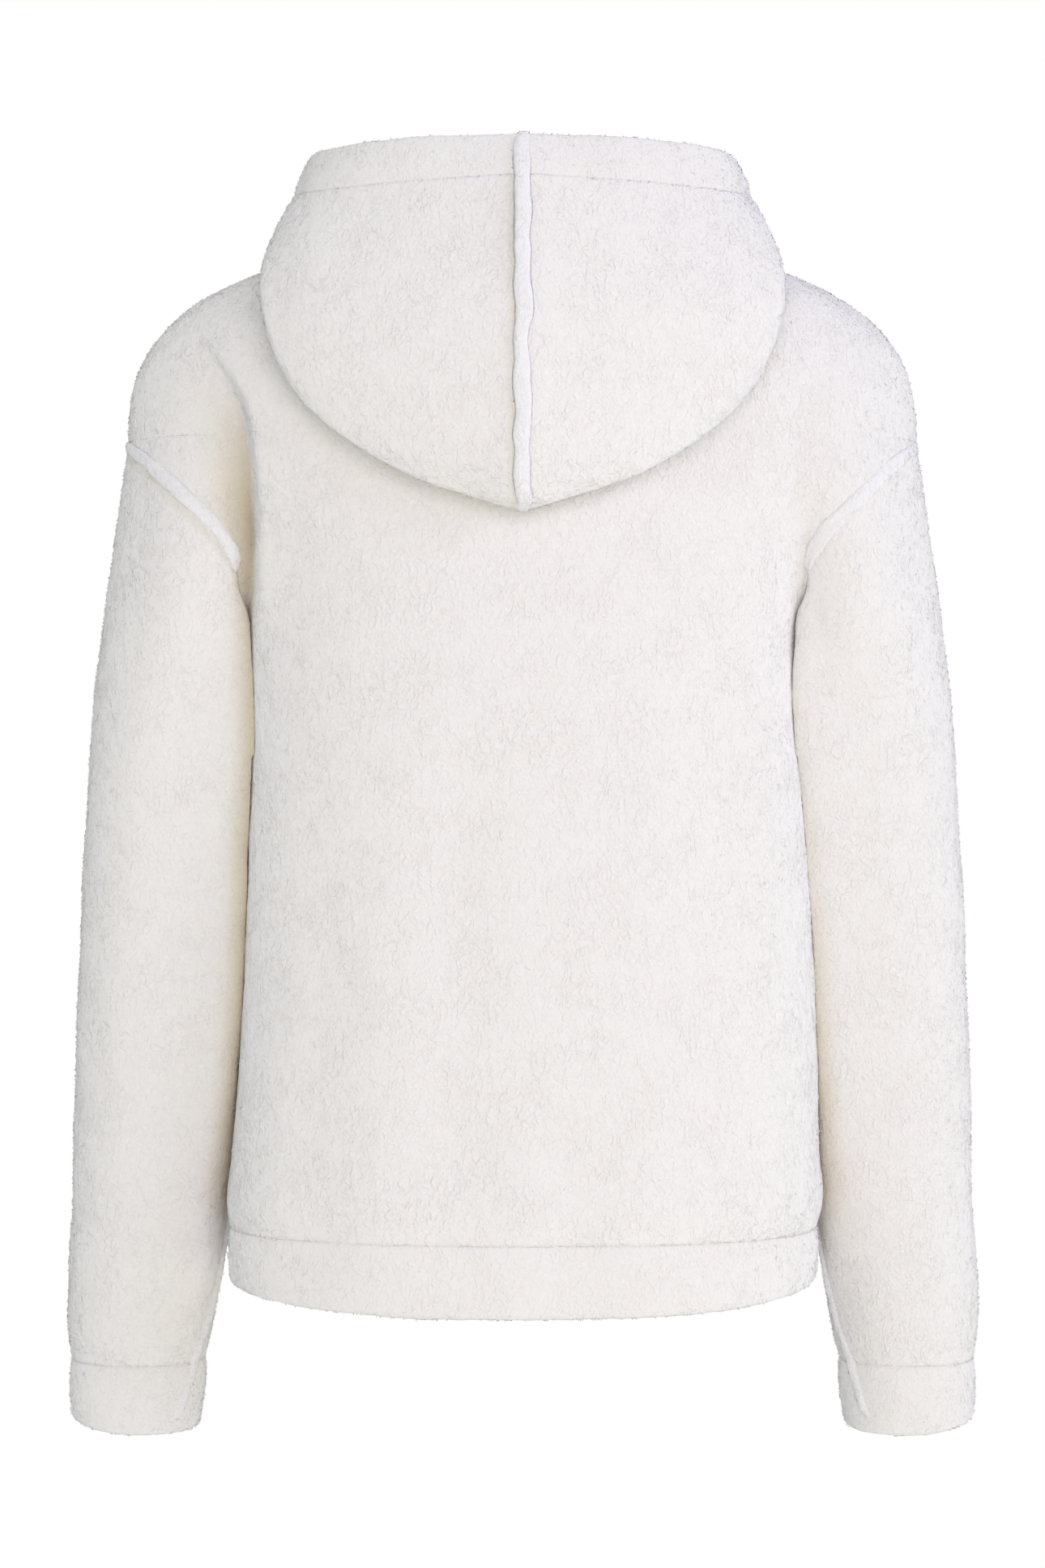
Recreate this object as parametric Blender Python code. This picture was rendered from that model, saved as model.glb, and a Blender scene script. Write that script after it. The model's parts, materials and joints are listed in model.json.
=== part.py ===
"""A hooded pullover in thick sherpa fleece, filled out as it is when worn, with nobody in it.

The garment stands in its own frame, in metres: +Z up, the front towards -Y, the wearer's left at
+X, and the origin between the two points where the shoulder seams meet the neckline. Every piece
is a wall of fleece with a thickness of its own. Sections across the body, the sleeves and the hood
are worked out from the sizes below, and the pieces stop a third of a millimetre apart at seams.
"""

import math

import bpy
import numpy as np

# ---------------------------------------------------------------- cloth
FLEECE = 0.0045  # one layer, backing and pile together
TURNED = 0.0085  # a turned hem, two layers pressed together
HEM_SWELLS = 0.4  # share of its height, from the stitches, where a hem has its full thickness
HEM_ROUND = (0, 40, 90, 140, 180)  # degrees round its folded edge
SEAM_GAP = 0.0003  # between two pieces that are sewn to each other

# ---------------------------------------------------------------- body
SHOULDER_HALF = 0.2305  # middle of the body to the top of the dropped armhole
SHOULDER_RISE = 0.116  # top of the armhole up to the top of the shoulder
SHOULDER_POWER = 2.6  # how square the shoulder's outline is: 2 is round, more is squarer
PLAN_POWER = 2.05  # the same for its level sections
BODY_POWER = 2.4  # and for the level sections of the body
SHOULDER_DEPTH = {"back": 0.108, "front": 0.106}  # at the top of the armhole
NECK_HALF = 0.095  # the neckline is an oval, seen from above
NECK_DEPTH = {"back": 0.070, "front": 0.101}
HEM_SEAM_Z = -0.5725
HEM_Z = -0.6125
HEM_RISE, HEM_RISE_POWER = 0.0035, 3  # the hem rides up this much at the side seams

# A level section of the body in each row. Its middle strays a little to the wearer's right, since
# the body of the garment doesn't hang quite straight.
BODY_COLUMNS = ("z", "half_width", "back", "front", "middle")
BODY_SECTIONS = (
    (-0.116, 0.1750, 0.1080, 0.1060, 0.0000),
    (-0.160, 0.1650, 0.1105, 0.1150, 0.0000),
    (-0.200, 0.1615, 0.1115, 0.1215, 0.0000),
    (-0.243, 0.1605, 0.1110, 0.1250, 0.0000),
    (-0.330, 0.1630, 0.1085, 0.1250, -0.0030),
    (-0.450, 0.1670, 0.1100, 0.1215, -0.0038),
    (-0.530, 0.1712, 0.1140, 0.1200, -0.0020),
    (-0.560, 0.1735, 0.1165, 0.1205, -0.0010),
    (-0.573, 0.1712, 0.1140, 0.1180, -0.0006),
    (-0.595, 0.1716, 0.1170, 0.1195, 0.0000),
    (-0.611, 0.1706, 0.1165, 0.1190, 0.0000),
)

# The seam where the sleeve joins the body, from the top of the arm to the underarm.
ARMHOLE_COLUMNS = ("x", "z")
ARMHOLE_HALF = (
    (0.2305, -0.116),
    (0.2130, -0.131),
    (0.1930, -0.150),
    (0.1755, -0.168),
    (0.1655, -0.184),
    (0.1625, -0.205),
    (0.1605, -0.226),
    (0.1605, -0.243),
)
UNDERARM_Z = ARMHOLE_HALF[-1][1]
ARMHOLE_BLEND = 0.80  # share of a section from which it bends to meet the seam
ARMHOLE_CLOSING = 0.6  # share of the seam from which back and front close in on the underarm
ARMHOLE_TURNING = 0.55  # share of the seam from which the cloth turns to face down

# The arm's bulge beside the body, between the top of the armhole and the underarm.
ARM_COLUMNS = ("z", "outer", "inner", "depth")
ARM_SECTIONS = (
    (-0.116, 0.2305, 0.130, 0.066),
    (-0.150, 0.2375, 0.140, 0.065),
    (-0.188, 0.2430, 0.150, 0.063),
    (-0.243, 0.2500, 0.163, 0.060),
)
ARM_APART_Z = -0.190  # the shoulder has parted into body and arm by here
CREASE_ROUND = 0.008  # softness of the crease between them

# The crease between body and arm, from over the shoulder blade down to the underarm.
CREASE_COLUMNS = ("z", "x", "left", "right", "front")
CREASE_PATH = (
    (-0.040, 0.1930, 0.0000, 0.0000, 0.0000),
    (-0.062, 0.1830, 0.0040, 0.0020, 0.0020),
    (-0.082, 0.1710, 0.0100, 0.0060, 0.0060),
    (-0.102, 0.1610, 0.0150, 0.0090, 0.0090),
    (-0.130, 0.1560, 0.0150, 0.0100, 0.0100),
    (-0.160, 0.1555, 0.0090, 0.0070, 0.0070),
    (-0.190, 0.1555, 0.0015, 0.0015, 0.0015),
    (-0.215, 0.1560, 0.0000, 0.0000, 0.0000),
)
CREASE_WIDTH = 0.017
CREASE_FADE = 0.03  # it fades out over this depth beside the shoulder line

# Soft hollows that hang down the body, at a place across it.
HOLLOW_COLUMNS = ("face", "x", "z_top", "z_low", "width", "depth")
BODY_HOLLOWS = (
    ("back", 0.040, -0.260, -0.640, 0.026, 0.0040),
    ("back", -0.108, -0.170, -0.430, 0.024, 0.0045),
    ("back", 0.118, -0.300, -0.680, 0.020, 0.0030),
    ("back", -0.030, -0.430, -0.680, 0.022, 0.0025),
    ("front", 0.060, -0.200, -0.560, 0.028, 0.0040),
    ("front", -0.052, -0.260, -0.680, 0.026, 0.0040),
    ("front", 0.125, -0.280, -0.640, 0.018, 0.0030),
    ("front", -0.122, -0.220, -0.500, 0.018, 0.0030),
)
HOLLOW_FADE = 0.12  # length over which a hollow begins and ends
HOLLOW_SIDES = (0.02, 0.06)  # hollows fade out between these depths, towards the side seams

# ---------------------------------------------------------------- sleeves
# A level section of the hanging sleeve in each row.
SLEEVE_COLUMNS = ("z", "outer", "inner", "middle_y", "half_depth")
SLEEVE_SECTIONS = (
    (-0.300, 0.2545, 0.1610, -0.020, 0.0640),
    (-0.378, 0.2605, 0.1620, -0.030, 0.0600),
    (-0.473, 0.2652, 0.1660, -0.039, 0.0560),
    (-0.568, 0.2685, 0.1760, -0.046, 0.0510),
    (-0.639, 0.2720, 0.1860, -0.050, 0.0460),
    (-0.658, 0.2700, 0.1900, -0.051, 0.0415),
    (-0.680, 0.2728, 0.1920, -0.052, 0.0415),
    (-0.699, 0.2700, 0.1940, -0.053, 0.0395),
)
SLEEVE_POWER = 2.15
SLEEVE_CLEAR = 0.0034  # least space between the sleeve and the side of the body
SLEEVE_CLEAR_ROUND = 0.004  # softness of the flat that this gives the sleeve
SLEEVE_CLEAR_START = (-0.004, 0.022)  # below the underarm, where it sets in
# How the cloth leaves the armhole, at its top and at the underarm, and where it then heads.
SLEEVE_LEAVES_TOP = (0.12, 0.0, -1.0)
SLEEVE_LEAVES_UNDER = (0.040, 0.0, -0.012)
SLEEVE_UNDER_SHARE = 0.60  # share of the way from top to underarm where the second begins
SLEEVE_ARRIVES = (0.05, -0.08, -1.0)
CUFF_SEAM_Z = -0.658
CUFF_Z = -0.700

# Folds across a sleeve. "turn" is the share of the way round: 0 outer side, 0.25 back, 0.5 inner.
FOLD_COLUMNS = ("side", "z", "turn", "half_height", "half_turn", "depth")
SLEEVE_FOLDS = (
    ("left", -0.352, 0.36, 0.016, 0.10, 0.0035),
    ("left", -0.398, 0.30, 0.018, 0.12, 0.0040),
    ("left", -0.455, 0.62, 0.020, 0.12, 0.0045),
    ("left", -0.618, 0.20, 0.013, 0.16, 0.0030),
    ("right", -0.372, 0.60, 0.017, 0.11, 0.0040),
    ("right", -0.424, 0.42, 0.026, 0.09, 0.0060),
    ("right", -0.500, 0.28, 0.018, 0.12, 0.0035),
    ("right", -0.622, 0.24, 0.012, 0.14, 0.0030),
)

# ---------------------------------------------------------------- hood, lying on the back
# Each row is a line round the neck. Its places are at these shares of the way from the middle of
# the back (0) over the shoulder (1) to the middle of the front (2). The lines come in the order
# in which the cloth passes them: up from the neck seam, over, down the back, round the bottom
# of the pouch, and up its outer layer to the rim.
HOOD_SHARES = (0.0, 0.25, 0.5, 0.75, 1.0, 1.5, 2.0)
HOOD_LINES = {
    "roll": (
        (0.000, 0.083, 0.000), (0.046, 0.078, 0.003), (0.078, 0.060, 0.007), (0.100, 0.031, 0.010),
        (0.106, -0.002, 0.008), (0.083, -0.067, -0.012), (0.000, -0.109, -0.065),
    ),
    "lay": (
        (0.000, 0.114, -0.075), (0.056, 0.110, -0.064), (0.100, 0.093, -0.040),
        (0.124, 0.060, -0.014), (0.117, 0.004, 0.005), (0.092, -0.071, -0.016),
        (0.000, -0.116, -0.068),
    ),
    "under": (
        (0.000, 0.118, -0.146), (0.064, 0.115, -0.124), (0.113, 0.103, -0.084),
        (0.138, 0.074, -0.032), (0.129, 0.011, -0.002), (0.101, -0.075, -0.018),
        (0.000, -0.122, -0.068),
    ),
    "fold": (
        (0.000, 0.132, -0.165), (0.069, 0.128, -0.141), (0.122, 0.112, -0.101),
        (0.146, 0.086, -0.046), (0.1375, 0.018, 0.000), (0.108, -0.079, -0.016),
        (0.000, -0.1265, -0.064),
    ),
    "over": (
        (0.000, 0.150, -0.150), (0.072, 0.146, -0.126), (0.128, 0.128, -0.088),
        (0.1465, 0.099, -0.034), (0.1375, 0.019, 0.008), (0.111, -0.081, -0.011),
        (0.000, -0.129, -0.058),
    ),
    "belly": (
        (0.000, 0.163, -0.075), (0.073, 0.157, -0.060), (0.126, 0.132, -0.036),
        (0.1370, 0.085, -0.001), (0.1335, 0.014, 0.014), (0.110, -0.082, -0.006),
        (0.000, -0.130, -0.053),
    ),
    "rim_seam": (
        (0.000, 0.147, 0.019), (0.067, 0.138, 0.017), (0.112, 0.107, 0.016),
        (0.1295, 0.061, 0.020), (0.129, 0.006, 0.023), (0.106, -0.082, 0.001),
        (0.000, -0.131, -0.047),
    ),
    "rim": (
        (0.000, 0.135, 0.044), (0.063, 0.125, 0.0434), (0.1075, 0.096, 0.0425),
        (0.121, 0.052, 0.044), (0.120, -0.001, 0.044), (0.100, -0.083, 0.024),
        (0.000, -0.131, -0.022),
    ),
}

# ---------------------------------------------------------------- raised seams
RIDGE_WIDTH = 0.0085  # the two seam allowances, brushed out together
RIDGE_HEIGHT = 0.0042
SLEEVE_RIDGE_HEIGHT = 0.0032  # it lies flat higher up, where sleeve and body meet
RIDGE_LIFT = 0.0011  # clear of the cloth that it rests on
ARMHOLE_RIDGE_LIFT = 0.0023  # more where the cloth under it bends both ways
HOOD_RIDGE_WAVER = 0.0014  # how far the hood's ridge strays to either side
HOOD_RIDGE_WAVES = 7
HOOD_RIDGE_BEAT = 0.37  # the slower wave that makes the first one uneven
HOOD_RIDGE_STEPS = 40
RIDGE_SHOULDER = 0.75  # share of the half width where its round top turns down
RIDGE_ROUND = 0.6
ARMHOLE_RIDGE_REACH = 0.60  # share of the way from the top of the arm to the underarm
SEAM_TURN_COLUMNS = ("z", "turn")
SLEEVE_SEAM_TURN = (
    (-0.520, 0.492),
    (-0.560, 0.490),
    (-0.615, 0.465),
    (-0.658, 0.415),
    (-0.692, 0.370),
)
SLEEVE_RIDGE_STEPS = 22
BESIDE_TURN = 0.02  # a place beside that seam, as a share of the way round

# ---------------------------------------------------------------- how finely the walls are divided
BODY_STEPS = 14  # middle to side
BODY_SHARES = tuple((k / BODY_STEPS) ** 0.8 for k in range(BODY_STEPS + 1))  # closer at the side
SHOULDER_ROWS = 7
ARMHOLE_STEPS = 9
TRUNK_ROWS = 9
SLEEVE_TOP_ROWS = 4
SLEEVE_ROWS = 12
HOOD_SPANS = (2, 2, 2, 1, 1, 2, 3)  # rows between one hood line and the next, from the neck seam
SECTION_POINTS = 240  # fine points that a section is measured with
NUDGE = 0.3  # of a column, for the slope of a section
ARMHOLE_ROWS = slice(SHOULDER_ROWS, SHOULDER_ROWS + ARMHOLE_STEPS + 1)

LEFT, RIGHT = 1, -1
SIDES = {"left": LEFT, "right": RIGHT}


# ================================================================ curves
def smooth(values, keys, at):
    """Values at `at` on a soft curve through the rows of a table, with its keys in rising order."""
    keys = np.asarray(keys, float)
    values = np.asarray(values, float)
    slopes = np.gradient(values, keys, axis=0)
    at = np.clip(np.asarray(at, float), keys[0], keys[-1])
    cell = np.clip(np.searchsorted(keys, at, side="right") - 1, 0, len(keys) - 2)
    width = keys[cell + 1] - keys[cell]
    t = (at - keys[cell]) / width
    if values.ndim > 1:
        t, width = t[..., None], width[..., None]
    start, end = values[cell], values[cell + 1]
    rise_in, rise_out = slopes[cell] * width, slopes[cell + 1] * width
    return hermite(start, rise_in, end, rise_out, t)


def hermite(start, leave, end, arrive, t):
    """A point on the curve that leaves `start` and arrives at `end` with the given slopes."""
    return (
        (2 * t**3 - 3 * t**2 + 1) * start
        + (t**3 - 2 * t**2 + t) * leave
        + (3 * t**2 - 2 * t**3) * end
        + (t**3 - t**2) * arrive
    )


def column(table, names, name, z):
    """One named column of a table of level sections, at height z."""
    key, wanted = names.index("z"), names.index(name)
    rows = sorted(table, key=lambda row: row[key])
    return smooth([row[wanted] for row in rows], [row[key] for row in rows], z)


def ramp(value, low, high):
    """0 below low, 1 above high, and an S between."""
    t = np.clip((value - low) / (high - low), 0.0, 1.0)
    return t * t * (3 - 2 * t)


def at_shares(line, shares):
    """Points at shares of the length of a finely divided line."""
    length = np.concatenate([[0.0], np.cumsum(np.linalg.norm(np.diff(line, axis=0), axis=1))])
    where = np.asarray(shares) * length[-1]
    return np.stack([np.interp(where, length, line[:, k]) for k in range(3)], axis=1)


def unit(vectors):
    return vectors / np.maximum(np.linalg.norm(vectors, axis=-1, keepdims=True), 1e-12)


def square_to(vectors, along):
    """Vectors with the part that runs along another direction taken away, at length 1."""
    return unit(vectors - along * (vectors * along).sum(axis=-1, keepdims=True))


def superellipse(turn, power):
    """Shares of the half width and of the depth, at an angle from the middle of a section."""
    across = np.clip(np.cos(turn), 0, 1) ** (2 / power)
    return np.sin(turn) ** (2 / power), across


def bulge(x, middle, half, depth, power):
    inside = np.clip(1 - np.abs((x - middle) / half) ** power, 0, 1)
    return depth * inside ** (1 / power)


# ================================================================ the body's surface
def crease(face, side, x, z):
    """How deep the crease between body and arm lies at a place on the shoulder."""
    name = "front" if face == "front" else "left" if side == LEFT else "right"
    depth = column(CREASE_PATH, CREASE_COLUMNS, name, z)
    middle = column(CREASE_PATH, CREASE_COLUMNS, "x", z)
    return depth * np.exp(-(((x - middle) / CREASE_WIDTH) ** 2))


def hollows(face, side, x, z):
    """How far the soft hollows of a face lie in, at places x to one side of its middle."""
    depth = np.zeros_like(x)
    for of_face, middle, z_top, z_low, width, most in BODY_HOLLOWS:
        if of_face == face:
            begun = ramp(-z, -z_top, -z_top + HOLLOW_FADE)
            left = 1 - ramp(-z, -z_low - HOLLOW_FADE, -z_low)
            depth = depth + most * begun * left * np.exp(-(((side * x - middle) / width) ** 2))
    return depth


def dome_ring(face, side, share):
    """A section over the shoulder: share 0 is the neckline, 1 the level of the armhole's top."""
    wide, deep = superellipse(np.linspace(0.0, math.pi / 2, SECTION_POINTS), PLAN_POWER)
    wide, deep = SHOULDER_HALF * wide, SHOULDER_DEPTH[face] * deep
    cut = ((wide / NECK_HALF) ** 2 + (deep / NECK_DEPTH[face]) ** 2) ** -0.5
    start = np.arcsin(cut ** (SHOULDER_POWER / 2))
    reach, height = superellipse(start + (math.pi / 2 - start) * share, SHOULDER_POWER)
    x, y, z = wide * reach, deep * reach, SHOULDER_RISE * (height - 1)
    y = y - crease(face, side, x, z) * ramp(y, 0.0, CREASE_FADE)
    return np.stack([x, y, z], axis=1)


def shoulder_depth(face, x, z):
    """How far a face stands out at a place between the top of the armhole and the underarm."""
    depth = column(BODY_SECTIONS, BODY_COLUMNS, face, z)
    half = column(BODY_SECTIONS, BODY_COLUMNS, "half_width", z)
    outer = column(ARM_SECTIONS, ARM_COLUMNS, "outer", z)
    inner = column(ARM_SECTIONS, ARM_COLUMNS, "inner", z)
    arm_depth = column(ARM_SECTIONS, ARM_COLUMNS, "depth", z)
    whole = bulge(x, 0, outer, depth, PLAN_POWER)
    trunk = bulge(x, 0, half, depth, BODY_POWER)
    arm = bulge(x, (outer + inner) / 2, (outer - inner) / 2, arm_depth, 2)
    apart = (trunk + arm + np.sqrt((trunk - arm) ** 2 + CREASE_ROUND**2)) / 2
    return whole + (apart - whole) * ramp(-z, SHOULDER_RISE, -ARM_APART_Z)


def armhole_ring(face, side, end):
    """A level section from the middle of the body to a point on the armhole seam."""
    z = end[2]
    x = end[0] * superellipse(np.linspace(0, math.pi / 2, SECTION_POINTS), BODY_POWER)[0]
    y = shoulder_depth(face, x, z)
    y = y - crease(face, side, x, z) * ramp(y, 0.0, CREASE_FADE) - hollows(face, side, x, z)
    y = y + (end[1] - y[-1]) * ramp(x, ARMHOLE_BLEND * end[0], end[0])
    return np.stack([x, y, np.full_like(x, z)], axis=1)


def trunk_ring(face, side, z):
    """A level section of the body below the underarm, from its middle to the side seam."""
    wide, deep = superellipse(np.linspace(0, math.pi / 2, SECTION_POINTS), BODY_POWER)
    x = column(BODY_SECTIONS, BODY_COLUMNS, "half_width", z) * wide
    y = column(BODY_SECTIONS, BODY_COLUMNS, face, z) * deep
    y = y - hollows(face, side, x, z) * ramp(y, *HOLLOW_SIDES)
    x = x + side * column(BODY_SECTIONS, BODY_COLUMNS, "middle", z)
    return np.stack([x, y, np.full_like(x, z)], axis=1)


def placed(points, face, side):
    """Points made for the left half of the back, turned to another half."""
    return points * np.array([side, 1 if face == "back" else -1, 1])


def armhole_half():
    """The armhole seam from the top of the arm to the underarm, on the left half of the back."""
    points = np.array(ARMHOLE_HALF)
    both_ways = np.concatenate([points[1:2], points, points[-2:-1]])
    keys = np.arange(-1.0, len(points) + 1.0)
    along = np.linspace(0, 1, SECTION_POINTS)
    x, z = smooth(both_ways, keys, along * (len(points) - 1)).T
    y = shoulder_depth("back", x, z)
    y = y - y[-1] * ramp(along, ARMHOLE_CLOSING, 1.0)
    line = at_shares(np.stack([x, y, z], axis=1), np.linspace(0, 1, ARMHOLE_STEPS + 1))
    line[0, 1] = 0.0
    return line


def body_rings(face, side):
    """The sections of half a panel, from the neckline down to the hem seam."""
    shares = np.sin(np.arange(SHOULDER_ROWS) / SHOULDER_ROWS * math.pi / 2)
    rings = [dome_ring(face, side, share) for share in shares]
    rings += [armhole_ring(face, side, end) for end in armhole_half()]
    levels = np.linspace(UNDERARM_Z, HEM_SEAM_Z, TRUNK_ROWS + 1)[1:]
    return rings + [trunk_ring(face, side, z) for z in levels]


def plain_half(face, side):
    """Points of half a body panel and the directions square to it, rows from neckline to hem."""
    shares = np.array(BODY_SHARES)
    nudge = NUDGE / BODY_STEPS
    rings = body_rings(face, side)
    grid, before, after = (
        placed(np.stack([at_shares(ring, np.clip(shares + step, 0, 1)) for ring in rings]), face, side)
        for step in (0, -nudge, nudge)
    )
    out = unit(np.cross(after - before, np.gradient(grid, axis=0)))
    out *= side * (1 if face == "back" else -1)
    out[:, 0] = square_to(out[:, 0], np.array([1.0, 0.0, 0.0]))
    return grid, out


def half_panel(face, side):
    """Half a body panel, with directions along its side edge that suit the pieces sewn to it."""
    grid, out = plain_half(face, side)
    shoulder, trunk = slice(0, ARMHOLE_ROWS.start), slice(ARMHOLE_ROWS.stop, None)
    out[shoulder, -1] = square_to(out[shoulder, -1], np.array([0.0, 1.0, 0.0]))
    out[trunk, -1] = unit(out[trunk, -1] * [1, 0, 0])
    out[ARMHOLE_ROWS, -1] = armhole_directions(side) * [1, 1 if face == "back" else -1, 1]
    out[-1] = square_to(out[-1], np.array([0.0, 0.0, 1.0]))
    return grid, out


def armhole_directions(side):
    """Outward directions down the back half of an armhole. The front half mirrors them."""
    back, front = (plain_half(face, side)[1][ARMHOLE_ROWS, -1] for face in ("back", "front"))
    both = unit(back + front * [1, -1, 1])
    both[0] = square_to(both[0], np.array([0.0, 1.0, 0.0]))
    down = ramp(np.linspace(0, 1, ARMHOLE_STEPS + 1), ARMHOLE_TURNING, 1.0)[:, None]
    return unit(both * (1 - down) + down * [0, 0, -1])


def body_panel(face):
    """Outer points and outward directions of a whole body panel."""
    halves = []
    for side in (RIGHT, LEFT):
        grid, out = half_panel(face, side)
        grid[:, -1] += unit(grid[:, -2] - grid[:, -1]) * SEAM_GAP / 2
        halves.append((grid, out))
    (right, right_out), (left, left_out) = halves
    grid = np.concatenate([right[:, :0:-1], left], axis=1)
    out = np.concatenate([right_out[:, :0:-1], left_out], axis=1)
    return grid, out


def ring_round(make_quarter):
    """A closed ring from its quarters: left back, left front, right front, right back."""
    quarters = []
    for face, side, turn in (
        ("back", LEFT, 1),
        ("front", LEFT, -1),
        ("front", RIGHT, 1),
        ("back", RIGHT, -1),
    ):
        points = placed(at_shares(make_quarter(face, side), BODY_SHARES), face, side)
        quarters.append(points[::turn][:-1])
    return np.concatenate(quarters)


# ================================================================ the sleeve's surface
def sleeve_ring(name, z, turns):
    """A level section of a sleeve, on the left side, at shares of the way round it."""
    outer, inner, middle_y, half_depth = (
        column(SLEEVE_SECTIONS, SLEEVE_COLUMNS, wanted, z) for wanted in SLEEVE_COLUMNS[1:]
    )
    turns = np.asarray(turns, float)
    cosine, sine = np.cos(2 * math.pi * turns), np.sin(2 * math.pi * turns)
    dent = 1.0 - sleeve_dent(name, z, turns) / half_depth
    wide = np.sign(cosine) * np.abs(cosine) ** (2 / SLEEVE_POWER) * dent
    deep = np.sign(sine) * np.abs(sine) ** (2 / SLEEVE_POWER) * dent
    x = (outer + inner) / 2 + (outer - inner) / 2 * wide
    return clear_of_body(name, np.stack([x, middle_y + half_depth * deep, x * 0 + z], axis=-1))


def sleeve_dent(name, z, turns):
    """How far the folds across a sleeve lie in."""
    depth = turns * 0.0
    for side, fold_z, fold_turn, half_height, half_turn, most in SLEEVE_FOLDS:
        if side == name:
            away = np.abs(turns - fold_turn)
            away = np.minimum(away, 1 - away)
            depth = depth + most * np.exp(-(((z - fold_z) / half_height) ** 2) - (away / half_turn) ** 2)
    return depth


def clear_of_body(name, points):
    """Points of a sleeve, made on the left side, moved out where they would touch the body."""
    x, y, z = points[..., 0], points[..., 1], points[..., 2]
    half, back, front, middle = (
        column(BODY_SECTIONS, BODY_COLUMNS, wanted, z) for wanted in BODY_COLUMNS[1:]
    )
    side = bulge(y, 0, np.where(y > 0, back, front), half, BODY_POWER) + SLEEVE_CLEAR
    side = side + SIDES[name] * middle
    pushed = (x + side + np.sqrt((x - side) ** 2 + SLEEVE_CLEAR_ROUND**2)) / 2
    started = ramp(UNDERARM_Z - z, *SLEEVE_CLEAR_START)
    return np.stack([x + (pushed - x) * started, y, z], axis=-1)


def all_round(back):
    """A line or a set of directions down the back of an armhole, carried on up the front."""
    return np.concatenate([back, (back * [1, -1, 1])[-2:0:-1]])


def sleeve_grid(name):
    """Outer points of a sleeve, made on the left side, rows from the armhole to the cuff seam."""
    loop = all_round(armhole_half())
    turns = np.arange(len(loop)) / len(loop)
    first_z = SLEEVE_SECTIONS[0][0]
    first = sleeve_ring(name, first_z, turns)
    nearness = 1 - np.abs(turns - 0.5) * 2
    under = ramp(nearness, SLEEVE_UNDER_SHARE, 1.0)[:, None]
    fall = np.abs(loop[:, 2:] - first_z)
    leave = (1 - under) * fall * SLEEVE_LEAVES_TOP + under * SLEEVE_LEAVES_UNDER
    arrive = fall * SLEEVE_ARRIVES
    rows = [
        hermite(loop, leave, first, arrive, k / SLEEVE_TOP_ROWS) for k in range(SLEEVE_TOP_ROWS)
    ]
    rows[1:] = [clear_of_body(name, row) for row in rows[1:]]
    levels = np.linspace(first_z, CUFF_SEAM_Z, SLEEVE_ROWS + 1)
    return np.stack(rows + [sleeve_ring(name, z, turns) for z in levels])


# ================================================================ the hood's surface
def neck_edge(side):
    """The neckline's outer and inner edges and the way up across it, from back to front."""
    outer, inner, upward = [], [], []
    for face, turn in (("back", 1), ("front", -1)):
        grid, out = half_panel(face, side)
        up = square_to(grid[0] - grid[1], out[0])
        outer.append(grid[0][::turn])
        inner.append((grid[0] - out[0] * FLEECE)[::turn])
        upward.append(up[::turn])
    upward[0][-1] = unit(upward[0][-1] + upward[1][0])
    return tuple(np.concatenate([pair[0], pair[1][1:]]) for pair in (outer, inner, upward))


def hood_line(name, side):
    shares = np.concatenate([BODY_SHARES, 2 - np.array(BODY_SHARES)[-2::-1]])
    line = smooth(np.array(HOOD_LINES[name]), HOOD_SHARES, shares)
    return line * [side, 1, 1]


def hood_grid(side):
    """Outer points and directions of half the hood: rows from the neck seam to the rim seam."""
    outer, inner, upward = neck_edge(side)
    start = outer + upward * SEAM_GAP
    lines = [start] + [hood_line(name, side) for name in list(HOOD_LINES)[:-1]]
    lines = np.stack(lines)
    rows = [inner + upward * SEAM_GAP]
    steps = np.linalg.norm(np.diff(lines, axis=0), axis=2) ** 0.5
    keys = np.concatenate([np.zeros((1, steps.shape[1])), np.cumsum(steps, axis=0)])
    for span, count in enumerate(HOOD_SPANS):
        for k in range(count):
            rows.append(hood_row(lines, keys, span + k / count))
    rows.append(lines[-1])
    grid = np.stack(rows)
    out = unit(np.cross(np.gradient(grid, axis=0), np.gradient(grid, axis=1))) * side
    out[:2] = -upward
    for edge, inward in ((0, 1), (-1, -1)):
        out[:, edge] = square_to(out[:, edge], np.array([1.0, 0.0, 0.0]))
        grid[:, edge, 0] = side * SEAM_GAP / 2
    return grid, out


def hood_row(lines, keys, place):
    """Points between the hood's lines, at a place counted in lines, one for each column."""
    span = min(int(place), len(HOOD_SPANS) - 1)
    points = []
    for col in range(lines.shape[1]):
        at = keys[span, col] + (place - span) * (keys[span + 1, col] - keys[span, col])
        points.append(smooth(lines[:, col], keys[:, col], at))
    return np.stack(points)


# ================================================================ meshes
def fleece_material(name, colour):
    material = bpy.data.materials.new(name)
    material.use_nodes = True
    shader = material.node_tree.nodes["Principled BSDF"]
    shader.inputs["Base Color"].default_value = (*colour, 1.0)
    shader.inputs["Roughness"].default_value = 0.95
    shader.inputs["Metallic"].default_value = 0.0
    return material


def finish_object(name, vertices, faces, colour):
    mesh = bpy.data.meshes.new(name)
    mesh.from_pydata([tuple(v) for v in vertices], [], faces)
    piece = bpy.data.objects.new(name, mesh)
    bpy.context.scene.collection.objects.link(piece)
    mesh.materials.append(fleece_material(name, colour))
    bpy.ops.object.select_all(action="DESELECT")
    bpy.context.view_layer.objects.active = piece
    piece.select_set(True)
    bpy.ops.object.mode_set(mode="EDIT")
    bpy.ops.mesh.select_all(action="SELECT")
    bpy.ops.mesh.normals_make_consistent(inside=False)
    bpy.ops.object.mode_set(mode="OBJECT")
    mesh.shade_smooth()
    mesh.set_sharp_from_angle(angle=math.radians(50))
    return piece


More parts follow.
